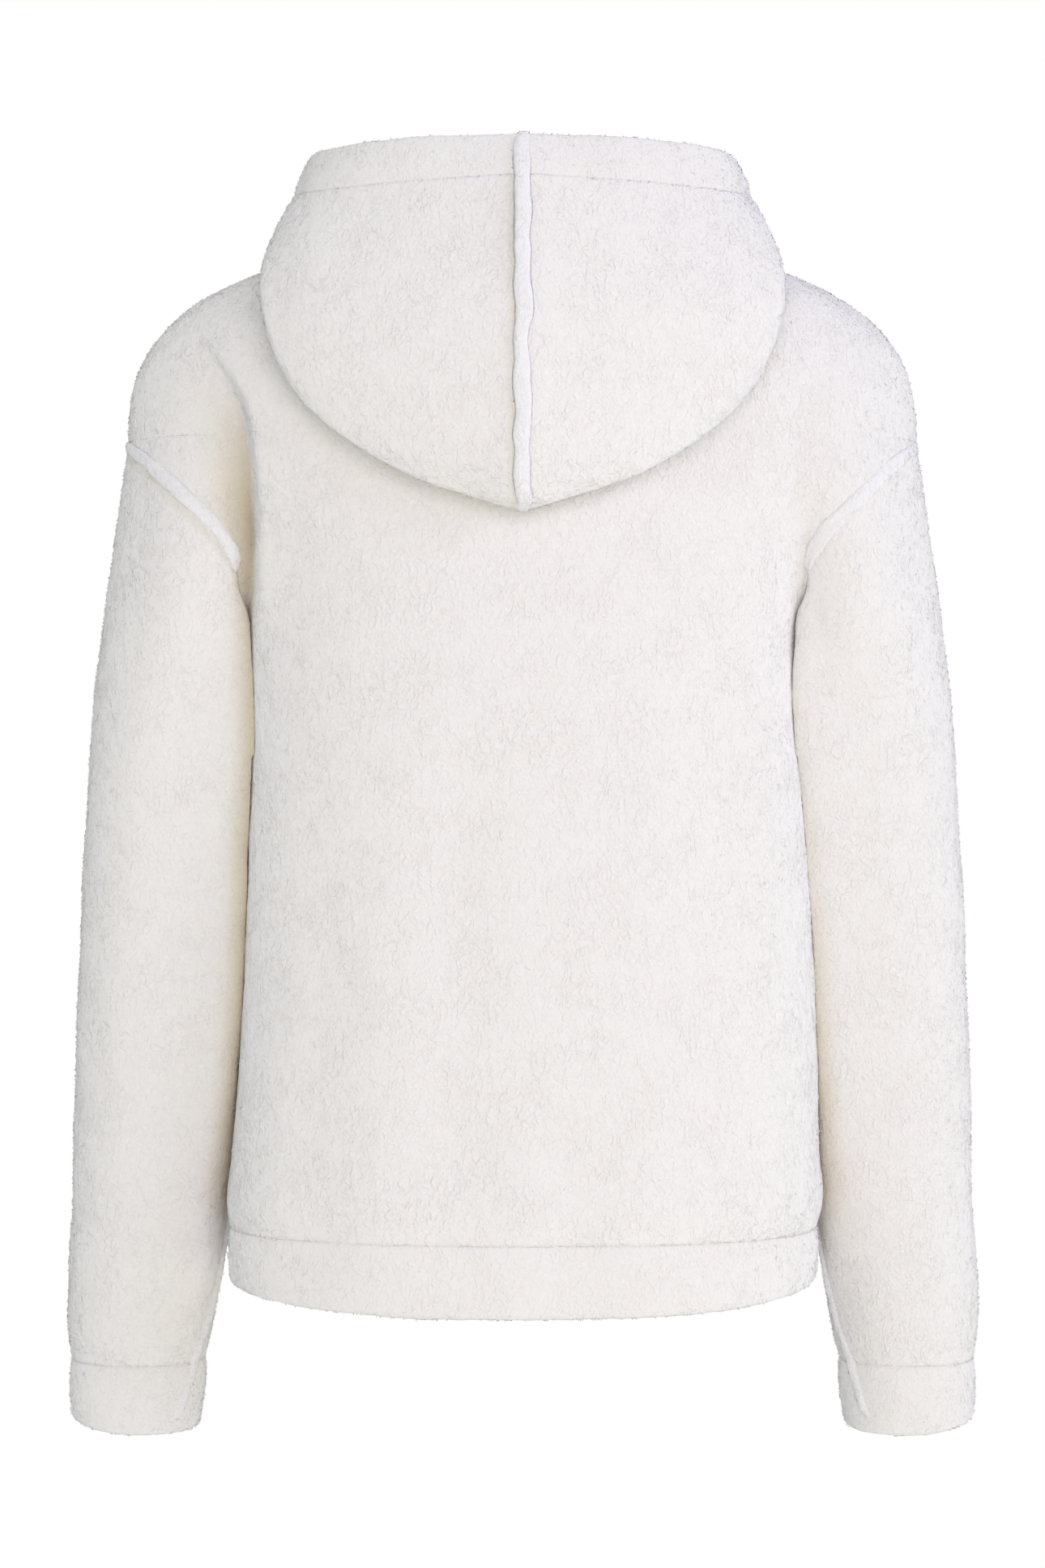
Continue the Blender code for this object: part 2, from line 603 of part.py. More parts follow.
def wall(name, outer, inner, colour, wrap=False):
    """A closed wall between two grids of points. Its columns meet round a tube if wrap is set."""
    rows, columns = outer.shape[:2]
    last = columns if wrap else columns - 1

    def at(row, col, layer):
        return (layer * rows + row) * columns + col % columns

    vertices = np.concatenate([outer.reshape(-1, 3), inner.reshape(-1, 3)])
    faces = []
    for row in range(rows - 1):
        for col in range(last):
            corners = [at(row, col, 0), at(row, col + 1, 0), at(row + 1, col + 1, 0), at(row + 1, col, 0)]
            for half in halves(vertices, corners):
                faces.append(half)
                faces.append([corner + rows * columns for corner in reversed(half)])
    for row in (0, rows - 1):
        for col in range(last):
            ends = [at(row, col, 0), at(row, col + 1, 0), at(row, col + 1, 1), at(row, col, 1)]
            faces += halves(vertices, ends)
    for col in () if wrap else (0, columns - 1):
        for row in range(rows - 1):
            ends = [at(row, col, 0), at(row + 1, col, 0), at(row + 1, col, 1), at(row, col, 1)]
            faces += halves(vertices, ends)
    return finish_object(name, vertices, faces, colour)


def halves(vertices, corners):
    """A four-sided face as two triangles, cut along its shorter diagonal."""
    a, b, c, d = corners
    if np.linalg.norm(vertices[a] - vertices[c]) <= np.linalg.norm(vertices[b] - vertices[d]):
        return [[a, b, c], [a, c, d]]
    return [[b, c, d], [b, d, a]]


def swept(name, loops, colour, wrap=False):
    """A solid whose closed outline is carried along a path: loops are its outlines in turn."""
    count, sides = loops.shape[:2]
    faces = []
    for k in range(count if wrap else count - 1):
        for side in range(sides):
            here, there = k * sides, (k + 1) % count * sides
            after = (side + 1) % sides
            faces.append([here + side, here + after, there + after, there + side])
    if not wrap:
        faces.append(list(range(sides)))
        faces.append([(count - 1) * sides + side for side in range(sides)])
    return finish_object(name, loops.reshape(-1, 3), faces, colour)


def turned_band(name, top, bottom, seam_out, colour, wrap=False):
    """A hem of two layers, from its seam line to its folded edge, which is round."""
    along = unit(bottom - top)
    out = square_to(seam_out, along)
    radius = TURNED / 2
    shoulder = top + (bottom - top) * HEM_SWELLS
    profile = [top, shoulder]
    for degrees in HEM_ROUND:
        angle = math.radians(degrees)
        arm = out * (math.cos(angle) - 1) + along * (math.sin(angle) - 1)
        profile.append(bottom + arm * radius)
    profile += [shoulder - out * TURNED, top - seam_out * FLEECE]
    return swept(name, np.stack(profile, axis=1), colour, wrap)


def ridge(name, path, sides, out, height, colour, clear=RIDGE_LIFT):
    """A raised seam. Its path and both sides lie on the cloth, and it is round above them."""
    out = square_to(out, unit(np.gradient(path, axis=0)))
    one, other = sides
    lift = out * clear
    top = out * np.asarray(height)
    profile = [one + lift]
    for edge, share in ((one, RIDGE_SHOULDER), (one, 0.0), (other, RIDGE_SHOULDER)):
        profile.append(path + (edge - path) * share + lift + top * (1 - share**2) ** RIDGE_ROUND)
    profile += [other + lift, path + lift]
    return swept(name, np.stack(profile, axis=1), colour)


# ================================================================ the pieces
CREAM = (0.87, 0.84, 0.79)
CREAM_BAND = (0.86, 0.82, 0.77)
CREAM_RIDGE = (0.90, 0.88, 0.85)


def body():
    for face in ("back", "front"):
        grid, out = body_panel(face)
        wall(face + "_panel", grid, grid - out * FLEECE, CREAM)
    top = ring_round(lambda face, side: trunk_ring(face, side, HEM_SEAM_Z - SEAM_GAP))
    bottom = ring_round(lambda face, side: trunk_ring(face, side, HEM_Z))
    aside = np.abs(bottom[:, 0]) / np.abs(bottom[:, 0]).max()
    bottom[:, 2] += HEM_RISE * aside**HEM_RISE_POWER
    turned_band("hem_band", top, bottom, outward(top), CREAM_BAND, wrap=True)


def outward(ring):
    """Level directions out of a closed ring."""
    around = np.roll(ring, -1, axis=0) - np.roll(ring, 1, axis=0)
    out = unit(np.cross(around, [0.0, 0.0, 1.0]))
    facing = (out * (ring - ring.mean(axis=0))).sum(axis=1).mean()
    return out if facing > 0 else -out


def sleeve(name):
    side = SIDES[name]
    mirror = np.array([side, 1, 1])
    grid = sleeve_grid(name) * mirror
    around = np.roll(grid, -1, axis=1) - np.roll(grid, 1, axis=1)
    out = unit(np.cross(around, np.gradient(grid, axis=0))) * -side
    out[0] = all_round(armhole_directions(side))
    out[-1] = square_to(out[-1], np.array([0.0, 0.0, 1.0]))
    armhole_ridge(name, grid, out[0])
    grid[0] += unit(grid[1] - grid[0]) * SEAM_GAP / 2
    wall("sleeve_" + name, grid, grid - out * FLEECE, CREAM, wrap=True)

    turns = np.arange(grid.shape[1]) / grid.shape[1]
    top = sleeve_ring(name, CUFF_SEAM_Z - SEAM_GAP, turns) * mirror
    bottom = sleeve_ring(name, CUFF_Z, turns) * mirror
    turned_band("cuff_" + name, top, bottom, outward(top), CREAM_BAND, wrap=True)
    sleeve_ridge(name, np.concatenate([grid[SLEEVE_TOP_ROWS:], top[None], bottom[None]]))


def armhole_ridge(name, sleeve_points, out):
    """The raised seam over the arm, from the crease at the back to the one at the front."""
    side = SIDES[name]
    seam = sleeve_points[0]
    beside = [plain_half(face, side)[0][ARMHOLE_ROWS, -2] for face in ("back", "front")]
    beside = np.concatenate([beside[0], beside[1][-2:0:-1]])
    half = RIDGE_WIDTH / 2
    edges = [seam + unit(toward - seam) * half for toward in (beside, sleeve_points[1])]
    reach = round(ARMHOLE_RIDGE_REACH * ARMHOLE_STEPS)
    order = np.arange(-reach, reach + 1)
    edges = [edge[order] for edge in edges]
    seam, out = seam[order], out[order]
    name = "armhole_seam_" + name
    ridge(name, seam, edges, out, RIDGE_HEIGHT, CREAM_RIDGE, clear=ARMHOLE_RIDGE_LIFT)


def on_faces(rings, z, turn):
    """A place on the flat faces between level rings of points."""
    place = turn * rings.shape[1]
    col, share = int(place), place - int(place)
    line = rings[:, col] * (1 - share) + rings[:, (col + 1) % rings.shape[1]] * share
    return np.stack([np.interp(-z, -line[:, 2], line[:, k]) for k in range(3)])


def sleeve_ridge(name, rings):
    """The raised end of the sleeve's own seam, which turns to the back as it nears the cuff."""
    levels = np.linspace(SLEEVE_SEAM_TURN[0][0], SLEEVE_SEAM_TURN[-1][0], SLEEVE_RIDGE_STEPS + 1)
    turns = column(SLEEVE_SEAM_TURN, SEAM_TURN_COLUMNS, "turn", levels)
    path = np.stack([on_faces(rings, z, turn) for z, turn in zip(levels, turns)])
    edges = []
    for way in (-1, 1):
        near = np.stack([on_faces(rings, z, turn + way * BESIDE_TURN) for z, turn in zip(levels, turns)])
        edges.append(path + unit(near - path) * RIDGE_WIDTH / 2)
    out = np.cross(edges[0] - edges[1], np.gradient(path, axis=0)) * SIDES[name]
    ridge("sleeve_seam_" + name, path, edges, out, SLEEVE_RIDGE_HEIGHT, CREAM_RIDGE)


def hood():
    for name, side in SIDES.items():
        grid, out = hood_grid(side)
        rim = hood_line("rim", side)
        rim[[0, -1], 0] = side * SEAM_GAP / 2
        band_out = np.cross(rim - grid[-1], np.gradient(grid[-1], axis=0)) * side
        out[-1] = unit(out[-1] + unit(band_out))
        out[-1][[0, -1]] = square_to(out[-1][[0, -1]], np.array([1.0, 0.0, 0.0]))
        wall("hood_" + name, grid, grid - out * FLEECE, CREAM)
        start = grid[-1] + unit(rim - grid[-1]) * SEAM_GAP
        turned_band("hood_hem_" + name, start, rim, out[-1], CREAM_BAND)


def hood_ridge():
    """The seam that joins the hood's halves, raised from the rim down to the bottom of the pouch."""
    lines = [np.array(HOOD_LINES[name][0]) for name in ("rim", "rim_seam", "belly", "over", "fold")]
    keys = np.concatenate([[0.0], np.cumsum(np.linalg.norm(np.diff(lines, axis=0), axis=1) ** 0.5)])
    fine = smooth(np.stack(lines), keys, np.linspace(0, keys[-1], SECTION_POINTS))
    path = at_shares(fine, np.linspace(0, 1, HOOD_RIDGE_STEPS + 1))
    out = np.cross([1.0, 0.0, 0.0], unit(np.gradient(path, axis=0)))
    phase = np.linspace(0, 2 * math.pi * HOOD_RIDGE_WAVES, len(path))
    path[:, 0] += HOOD_RIDGE_WAVER * np.sin(phase) * np.sin(HOOD_RIDGE_BEAT * phase + 1)
    edges = [path + np.array([way * RIDGE_WIDTH / 2, 0, 0]) for way in (-1, 1)]
    ridge("hood_centre_seam", path, edges, out, RIDGE_HEIGHT, CREAM_RIDGE)


def build():
    for old in list(bpy.data.objects):
        bpy.data.objects.remove(old)
    body()
    for name in SIDES:
        sleeve(name)
    hood()
    hood_ridge()


build()
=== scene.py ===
# %% [markdown]
# # A hooded pullover in sherpa fleece
#
# The garment hangs as if somebody were in it, and nobody is. It is thick curly fleece, creamy white:
# two body panels, two sleeves, a hood of two panels lying on the back, and plain turned hems.
#
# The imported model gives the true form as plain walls. Each of its nodes is replaced here by a finer
# shell of that form with its folds deepened. The shell gets soft seam valleys, pile that stands up
# in clumps, a knitted inside, brushed seam ridges and sunken stitches. Lengths are in metres, +Z is
# up, the garment's front faces -Y, and the origin lies between the two points where shoulder and
# neckline meet.

# %% The frame
import json
import math

import bmesh
import bpy
import numpy as np
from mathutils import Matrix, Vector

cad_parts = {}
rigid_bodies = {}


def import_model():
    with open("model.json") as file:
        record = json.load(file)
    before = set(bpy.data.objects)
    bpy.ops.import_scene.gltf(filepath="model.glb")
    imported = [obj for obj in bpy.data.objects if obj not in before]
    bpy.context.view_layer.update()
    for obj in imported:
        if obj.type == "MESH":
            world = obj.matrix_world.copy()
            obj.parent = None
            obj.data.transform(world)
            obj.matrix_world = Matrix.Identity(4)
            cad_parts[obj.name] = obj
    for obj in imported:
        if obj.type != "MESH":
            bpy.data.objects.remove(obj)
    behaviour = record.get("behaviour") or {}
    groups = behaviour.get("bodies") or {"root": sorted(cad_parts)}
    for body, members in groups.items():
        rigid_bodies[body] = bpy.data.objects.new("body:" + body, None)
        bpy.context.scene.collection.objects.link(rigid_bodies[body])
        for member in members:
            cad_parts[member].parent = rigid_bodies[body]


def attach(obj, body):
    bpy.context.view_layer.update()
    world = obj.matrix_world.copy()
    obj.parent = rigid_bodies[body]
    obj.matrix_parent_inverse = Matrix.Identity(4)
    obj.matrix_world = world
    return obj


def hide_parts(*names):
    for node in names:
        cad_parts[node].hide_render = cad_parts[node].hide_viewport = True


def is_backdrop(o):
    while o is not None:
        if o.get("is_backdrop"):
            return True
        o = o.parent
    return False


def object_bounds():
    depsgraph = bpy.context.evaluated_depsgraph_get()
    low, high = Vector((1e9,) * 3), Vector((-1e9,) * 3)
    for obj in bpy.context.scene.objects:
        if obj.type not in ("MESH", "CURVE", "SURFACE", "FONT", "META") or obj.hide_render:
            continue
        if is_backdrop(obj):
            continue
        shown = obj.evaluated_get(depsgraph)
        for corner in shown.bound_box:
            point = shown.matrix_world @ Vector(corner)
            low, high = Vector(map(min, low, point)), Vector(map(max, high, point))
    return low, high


for old in list(bpy.data.objects):
    bpy.data.objects.remove(old)
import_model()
cad_low, cad_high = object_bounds()
print("model box in mm:", [round(1000 * v) for v in (*cad_low, *cad_high)])

# %% [markdown]
# ## Node helpers
#
# The studio, the finishes and the pile are all trees of nodes, and written out in full such a tree
# takes three lines a node. One helper adds a node with its settings and its links. Four more stand
# for the nodes that come up most: sums, sums of vectors, a soft step and a blend of two colours.


# %% Node helpers
def add(tree, kind, settings=None, inputs=None):
    """A new node with its settings, and its inputs either set or linked."""
    made = tree.nodes.new(kind)
    for name, value in (settings or {}).items():
        setattr(made, name, value)
    for name, value in (inputs or {}).items():
        if isinstance(value, bpy.types.NodeSocket):
            tree.links.new(value, made.inputs[name])
        else:
            made.inputs[name].default_value = value
    return made


def maths(tree, operation, *values):
    return add(tree, "ShaderNodeMath", {"operation": operation}, dict(enumerate(values))).outputs[0]


def vector_maths(tree, operation, *values):
    return add(tree, "ShaderNodeVectorMath", {"operation": operation}, dict(enumerate(values))).outputs[0]


def steps_between(tree, value, low, high, to_low=0.0, to_high=1.0):
    """The value taken from one range to another, with an S between."""
    ends = {"Value": value, "From Min": low, "From Max": high, "To Min": to_low, "To Max": to_high}
    return add(tree, "ShaderNodeMapRange", {"interpolation_type": "SMOOTHSTEP"}, ends).outputs[0]


def blended(tree, share, first, second):
    """A colour between two others."""
    mix = add(tree, "ShaderNodeMix", {"data_type": "RGBA"}, {0: share})
    for socket, value in ((mix.inputs[6], first), (mix.inputs[7], second)):
        if isinstance(value, bpy.types.NodeSocket):
            tree.links.new(value, socket)
        else:
            socket.default_value = (*value, 1)
    return mix.outputs[2]


# %% [markdown]
# ## Camera
#
# The garment is seen squarely from behind, from chest height and from far enough for the sleeves to
# keep their width. A camera that looks along -Y has -X on its right. The lens is long, because a
# short one would swell the hood, which is nearest. There is no shift and no blur.

# %% Camera
CAMERA_AWAY = 2.2
CAMERA_Z = -0.315
LENS_MM = 86.2

camera_data = bpy.data.cameras.new("camera")
camera_data.lens = LENS_MM
camera_data.sensor_width = 36
camera = bpy.data.objects.new("camera", camera_data)
camera.location = (0, CAMERA_AWAY, CAMERA_Z)
camera.rotation_euler = (math.radians(90), 0, math.radians(180))
bpy.context.scene.collection.objects.link(camera)
bpy.context.scene.camera = camera
print("camera:", LENS_MM, "mm lens,", CAMERA_AWAY, "m behind the garment")

# %% [markdown]
# ## Light
#
# White fleece shows its form only through small steps of grey, so the light is large and soft, and
# a little stronger from one side. Two broad lamps stand behind the garment, one squarely and one
# off its right shoulder. A low one and a weak one on the left open the shadows, and the last lights
# the front. Their tints differ, so shaded cloth is slightly cooler or warmer and never plain grey.
# The world fills every shadow, and shows white to the camera.

# %% Light and world
WORLD_FILL = 0.45
WORLD_COLOUR = (0.940, 1.0, 0.975)
LAMP_AIM = (0, 0, -0.28)
LAMPS = {  # place, size, watts, colour
    "back": ((-0.2, 2.1, 0.0), 1.3, 13.6, (0.94, 0.845, 1.0)),
    "side": ((-1.9, 1.3, 0.35), 1.3, 14.5, (0.67, 0.66, 1.0)),
    "low": ((-0.8, 1.3, -1.0), 1.2, 3.2, (1.0, 1.0, 0.4)),
    "left": ((1.7, 1.4, -0.3), 1.3, 4.3, (1.0, 1.0, 1.0)),
    "front": ((0.5, -2.4, 0.1), 1.3, 15, (1.0, 0.93, 0.97)),
}


def lamp(name, place, size, watts, colour):
    light = bpy.data.lights.new(name, "AREA")
    light.shape = "DISK"
    light.size = size
    light.energy = watts
    light.color = colour
    holder = bpy.data.objects.new(name, light)
    holder.location = place
    away = np.subtract(place, LAMP_AIM)
    level = math.hypot(away[0], away[1])
    holder.rotation_euler = (math.atan2(level, away[2]), 0, math.atan2(away[0], -away[1]))
    bpy.context.scene.collection.objects.link(holder)


for lamp_name, facts in LAMPS.items():
    lamp(lamp_name, *facts)

world = bpy.data.worlds.new("studio")
bpy.context.scene.world = world
world.use_nodes = True
world_tree = world.node_tree
fill = world_tree.nodes["Background"]
fill.inputs["Color"].default_value = (*WORLD_COLOUR, 1)
fill.inputs["Strength"].default_value = WORLD_FILL
white = add(world_tree, "ShaderNodeBackground", inputs={"Color": (1, 1, 1, 1)}).outputs[0]
to_camera = add(world_tree, "ShaderNodeLightPath").outputs["Is Camera Ray"]
either = add(world_tree, "ShaderNodeMixShader", inputs={0: to_camera, 1: fill.outputs[0], 2: white})
world_tree.links.new(either.outputs[0], world_tree.nodes["World Output"].inputs["Surface"])
bpy.context.scene.view_settings.view_transform = "Standard"
print("lamps:", ", ".join(LAMPS))

# %% [markdown]
# ## Floor
#
# A plain pale floor lies well below the hanging garment. It is a disc that fades into the white
# world at its rim, so that no horizon cuts the picture from any side. The lamps are set for the
# cloth and leave the floor grey, so it also glows a little, for the camera alone.

# %% Floor
FLOOR_Z = -1.15
FLOOR_RADIUS = 1.7
FLOOR_SOLID = 0.7
FLOOR_COLOUR, FLOOR_ROUGHNESS = (0.93, 0.93, 0.93, 1), 0.9
FLOOR_LIFT = 0.32  # light that only the camera sees, so the floor stays pale
FLOOR_SIDES = 96

bpy.ops.mesh.primitive_circle_add(vertices=FLOOR_SIDES, radius=FLOOR_RADIUS, fill_type="NGON")
floor = bpy.context.object
floor.name = "floor"
floor.location = (0, 0, FLOOR_Z)
floor_finish = bpy.data.materials.new("pale_floor")
floor_finish.use_nodes = True
floor_tree = floor_finish.node_tree
floor_shader = floor_tree.nodes["Principled BSDF"]
floor_shader.inputs["Base Color"].default_value = FLOOR_COLOUR
floor_shader.inputs["Roughness"].default_value = FLOOR_ROUGHNESS
floor_shader.inputs["Emission Color"].default_value = (1, 1, 1, 1)
to_camera = add(floor_tree, "ShaderNodeLightPath").outputs["Is Camera Ray"]
glow = maths(floor_tree, "MULTIPLY", to_camera, FLOOR_LIFT)
floor_tree.links.new(glow, floor_shader.inputs["Emission Strength"])
place = add(floor_tree, "ShaderNodeTexCoord").outputs["Object"]
away = add(floor_tree, "ShaderNodeVectorMath", {"operation": "LENGTH"}, {0: place}).outputs["Value"]
fade = steps_between(floor_tree, away, FLOOR_RADIUS, FLOOR_SOLID)
floor_tree.links.new(fade, floor_shader.inputs["Alpha"])
floor.data.materials.append(floor_finish)
floor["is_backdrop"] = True
print("floor at", FLOOR_Z, "m, as a disc of", FLOOR_RADIUS, "m")

# %% [markdown]
# ## Curves through tables
#
# A garment's form is easiest to write as level sections: how wide and how deep it is at a few
# heights. Between the rows of such a table the cloth runs in one smooth curve, so a few small
# helpers read a table at any height, fade a detail in and out, and spread points along a line.


# %% Curve helpers
def hermite(start, leave, end, arrive, t):
    """A point on the curve that leaves `start` and arrives at `end` with the given slopes."""
    return (
        (2 * t**3 - 3 * t**2 + 1) * start
        + (t**3 - 2 * t**2 + t) * leave
        + (3 * t**2 - 2 * t**3) * end
        + (t**3 - t**2) * arrive
    )


def smooth(values, keys, at):
    """Values at `at` on a soft curve through rows whose keys rise."""
    keys, values = np.asarray(keys, float), np.asarray(values, float)
    slopes = np.gradient(values, keys, axis=0)
    at = np.clip(np.asarray(at, float), keys[0], keys[-1])
    cell = np.clip(np.searchsorted(keys, at, side="right") - 1, 0, len(keys) - 2)
    width = keys[cell + 1] - keys[cell]
    t = (at - keys[cell]) / width
    if values.ndim > 1:
        t, width = t[..., None], width[..., None]
    return hermite(
        values[cell], slopes[cell] * width, values[cell + 1], slopes[cell + 1] * width, t
    )


def column(table, names, name, z):
    """One named column of a table of level sections, at height z."""
    key, wanted = names.index("z"), names.index(name)
    rows = sorted(table, key=lambda row: row[key])
    return smooth([row[wanted] for row in rows], [row[key] for row in rows], z)


def ramp(value, low, high):
    """0 below low, 1 above high, and an S between."""
    t = np.clip((value - low) / (high - low), 0.0, 1.0)
    return t * t * (3 - 2 * t)


def unit(vectors):
    return vectors / np.maximum(np.linalg.norm(vectors, axis=-1, keepdims=True), 1e-12)


def square_to(vectors, along):
    """Vectors without the part that runs along another direction, at length 1."""
    return unit(vectors - along * (vectors * along).sum(axis=-1, keepdims=True))


def lengths(line):
    """How far along a line each of its points lies."""
    return np.concatenate([[0.0], np.cumsum(np.linalg.norm(np.diff(line, axis=0), axis=1))])


def at_shares(line, shares):
    """Points at shares of the length of a finely divided line."""
    far = lengths(line)
    where = np.asarray(shares) * far[-1]
    return np.stack([np.interp(where, far, line[:, k]) for k in range(3)], axis=1)


def superellipse(turn, power):
    """Shares of the half width and of the depth, at an angle from the middle of a section."""
    return np.sin(turn) ** (2 / power), np.clip(np.cos(turn), 0, 1) ** (2 / power)


def bulge(x, middle, half, depth, power):
    inside = np.clip(1 - np.abs((x - middle) / half) ** power, 0, 1)
    return depth * inside ** (1 / power)


# %% [markdown]
# ## The body
#
# The body is cut as a back and a front, each with its own part of the dropped shoulders. Worn, it
# is a soft tube with a dome over the shoulders. The dome turns into body and arm at the armhole,
# and a crease runs down between them, deepest on the garment's left, where the arm hangs closer.
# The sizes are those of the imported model, with a few changes that suit soft cloth: the left crease
# is deeper and sharper, the cloth between body and arm is fuller, the hem rises further at its
# sides, and the seams are closed.

# %% Sizes of the body
FLEECE = 0.0045  # thickness of the cloth
TURNED = 0.0085  # thickness of a turned hem
SEAM_GAP = 0.00006  # sewn pieces all but touch, and their pile hides the join
SHOULDER_HALF, SHOULDER_RISE, SHOULDER_POWER = 0.2305, 0.116, 2.6
PLAN_POWER, BODY_POWER = 2.05, 2.4
SHOULDER_DEPTH = {"back": 0.108, "front": 0.106}
NECK_HALF = 0.095
NECK_DEPTH = {"back": 0.070, "front": 0.101}
HEM_SEAM_Z, HEM_Z = -0.5725, -0.6125
HEM_RISE, HEM_RISE_POWER = 0.0080, 3  # the hem rides up at the side seams
BODY_COLUMNS = ("z", "half_width", "back", "front", "middle")
BODY_SECTIONS = (
    (-0.116, 0.1750, 0.1080, 0.1060, 0.0000),
    (-0.160, 0.1650, 0.1105, 0.1150, 0.0000),
    (-0.200, 0.1615, 0.1115, 0.1215, 0.0000),
    (-0.243, 0.1605, 0.1110, 0.1250, 0.0000),
    (-0.330, 0.1630, 0.1085, 0.1250, -0.0030),
    (-0.450, 0.1670, 0.1100, 0.1215, -0.0038),
    (-0.530, 0.1712, 0.1140, 0.1200, -0.0020),
    (-0.560, 0.1735, 0.1165, 0.1205, -0.0010),
    (-0.573, 0.1712, 0.1140, 0.1180, -0.0006),
    (-0.595, 0.1716, 0.1170, 0.1195, 0.0000),
    (-0.611, 0.1706, 0.1165, 0.1190, 0.0000),
)
ARMHOLE_HALF = (  # x, z
    (0.2305, -0.116),
    (0.2130, -0.131),
    (0.1930, -0.150),
    (0.1755, -0.168),
    (0.1655, -0.184),
    (0.1625, -0.205),
    (0.1605, -0.226),
    (0.1605, -0.243),
)
UNDERARM_Z = ARMHOLE_HALF[-1][1]
ARMHOLE_BLEND, ARMHOLE_CLOSING, ARMHOLE_TURNING = 0.80, 0.6, 0.55
ARM_COLUMNS = ("z", "outer", "inner", "depth")
ARM_SECTIONS = (
    (-0.116, 0.2305, 0.130, 0.066),
    (-0.150, 0.2375, 0.140, 0.065),
    (-0.188, 0.2430, 0.150, 0.063),
    (-0.243, 0.2500, 0.163, 0.060),
)
ARM_APART_Z = -0.190  # from here down, arm and body are two forms with a hollow between them
CREASE_ROUND = {"left": 0.018, "right": 0.032}  # how softly that hollow is filled
CREASE_ROUND_FROM, CREASE_ROUND_ENDS = (0.100, 0.150), (0.205, 0.243)  # from x, and down to z
CREASE_COLUMNS = ("z", "x", "left", "right", "front")
CREASE_PATH = (
    (-0.040, 0.1930, 0.0000, 0.0000, 0.0000),
    (-0.062, 0.1850, 0.0040, 0.0015, 0.0020),
    (-0.082, 0.1700, 0.0120, 0.0025, 0.0060),
    (-0.102, 0.1605, 0.0200, 0.0030, 0.0090),
    (-0.130, 0.1562, 0.0240, 0.0030, 0.0100),
    (-0.160, 0.1550, 0.0230, 0.0020, 0.0070),
    (-0.190, 0.1550, 0.0180, 0.0005, 0.0015),
    (-0.215, 0.1560, 0.0110, 0.0000, 0.0000),
    (-0.240, 0.1600, 0.0000, 0.0000, 0.0000),
)
CREASE_WIDTHS = {"left": (0.0042, 0.024), "right": (0.012, 0.019), "front": (0.014, 0.019)}
CREASE_FADE = 0.03  # it fades out over this depth beside the shoulder line
BODY_HOLLOWS = (  # face, x, z of the top, z of the foot, width, depth
    ("back", 0.040, -0.260, -0.640, 0.026, 0.0040),
    ("back", -0.108, -0.170, -0.430, 0.024, 0.0045),
    ("back", 0.118, -0.300, -0.680, 0.020, 0.0030),
    ("back", -0.030, -0.430, -0.680, 0.022, 0.0025),
    ("front", 0.060, -0.200, -0.560, 0.028, 0.0040),
    ("front", -0.052, -0.260, -0.680, 0.026, 0.0040),
    ("front", 0.125, -0.280, -0.640, 0.018, 0.0030),
    ("front", -0.122, -0.220, -0.500, 0.018, 0.0030),
)
HOLLOW_FADE, HOLLOW_SIDES = 0.12, (0.02, 0.06)
SECTION_POINTS = 900
SIDES = {"left": 1, "right": -1}
print("body:", round(-1000 * HEM_Z), "mm long,", round(2000 * BODY_SECTIONS[-1][1]), "mm wide at the hem")

# %% [markdown]
# ### How finely the shells are divided
#
# Clumps of pile are about 3 mm across, so an outer skin needs a point every two or three
# millimetres. The inside is smooth knit and hardly seen: a third as many rows and columns do there,
# which is why every count below can be divided by three.

# %% Counts
COARSE = 3
BODY_STEPS = 114
SHOULDER_ROWS, ARMHOLE_STEPS, TRUNK_ROWS = 54, 54, 129
SLEEVE_TOP_ROWS, SLEEVE_ROWS = 45, 141
HOOD_STEPS = 210
HOOD_SPANS = (9, 30, 27, 9, 9, 30, 39)
BAND_STEPS = 96
body_shares = np.linspace(0, 1, BODY_STEPS + 1)
ARMHOLE_ROWS = slice(SHOULDER_ROWS, SHOULDER_ROWS + ARMHOLE_STEPS + 1)
print("rows of a body panel:", SHOULDER_ROWS + ARMHOLE_STEPS + TRUNK_ROWS + 1)


# %% Creases and hollows of the body
def crease(face, side, x, z):
    name = "front" if face == "front" else "left" if side > 0 else "right"
    depth = column(CREASE_PATH, CREASE_COLUMNS, name, z)
    away = x - column(CREASE_PATH, CREASE_COLUMNS, "x", z)
    steep, gentle = CREASE_WIDTHS[name]
    return depth * np.exp(-((away / np.where(away < 0, steep, gentle)) ** 2))


def hollows(face, side, x, z):
    depth = np.zeros_like(x)
    for of_face, middle, z_top, z_low, width, most in BODY_HOLLOWS:
        if of_face == face:
            begun = ramp(-z, -z_top, -z_top + HOLLOW_FADE)
            left = 1 - ramp(-z, -z_low - HOLLOW_FADE, -z_low)
            depth = depth + most * begun * left * np.exp(-(((side * x - middle) / width) ** 2))
    return depth


# %% Sections of the body
def dome_ring(face, side, share):
    """A section over the shoulder: share 0 is the neckline, 1 the level of the armhole's top."""
    wide, deep = superellipse(np.linspace(0.0, math.pi / 2, SECTION_POINTS), PLAN_POWER)
    wide, deep = SHOULDER_HALF * wide, SHOULDER_DEPTH[face] * deep
    cut = ((wide / NECK_HALF) ** 2 + (deep / NECK_DEPTH[face]) ** 2) ** -0.5
    start = np.arcsin(cut ** (SHOULDER_POWER / 2))
    reach, height = superellipse(start + (math.pi / 2 - start) * share, SHOULDER_POWER)
    x, y, z = wide * reach, deep * reach, SHOULDER_RISE * (height - 1)
    y = y - crease(face, side, x, z) * ramp(y, 0.0, CREASE_FADE)
    return np.stack([x, y, z], axis=1)


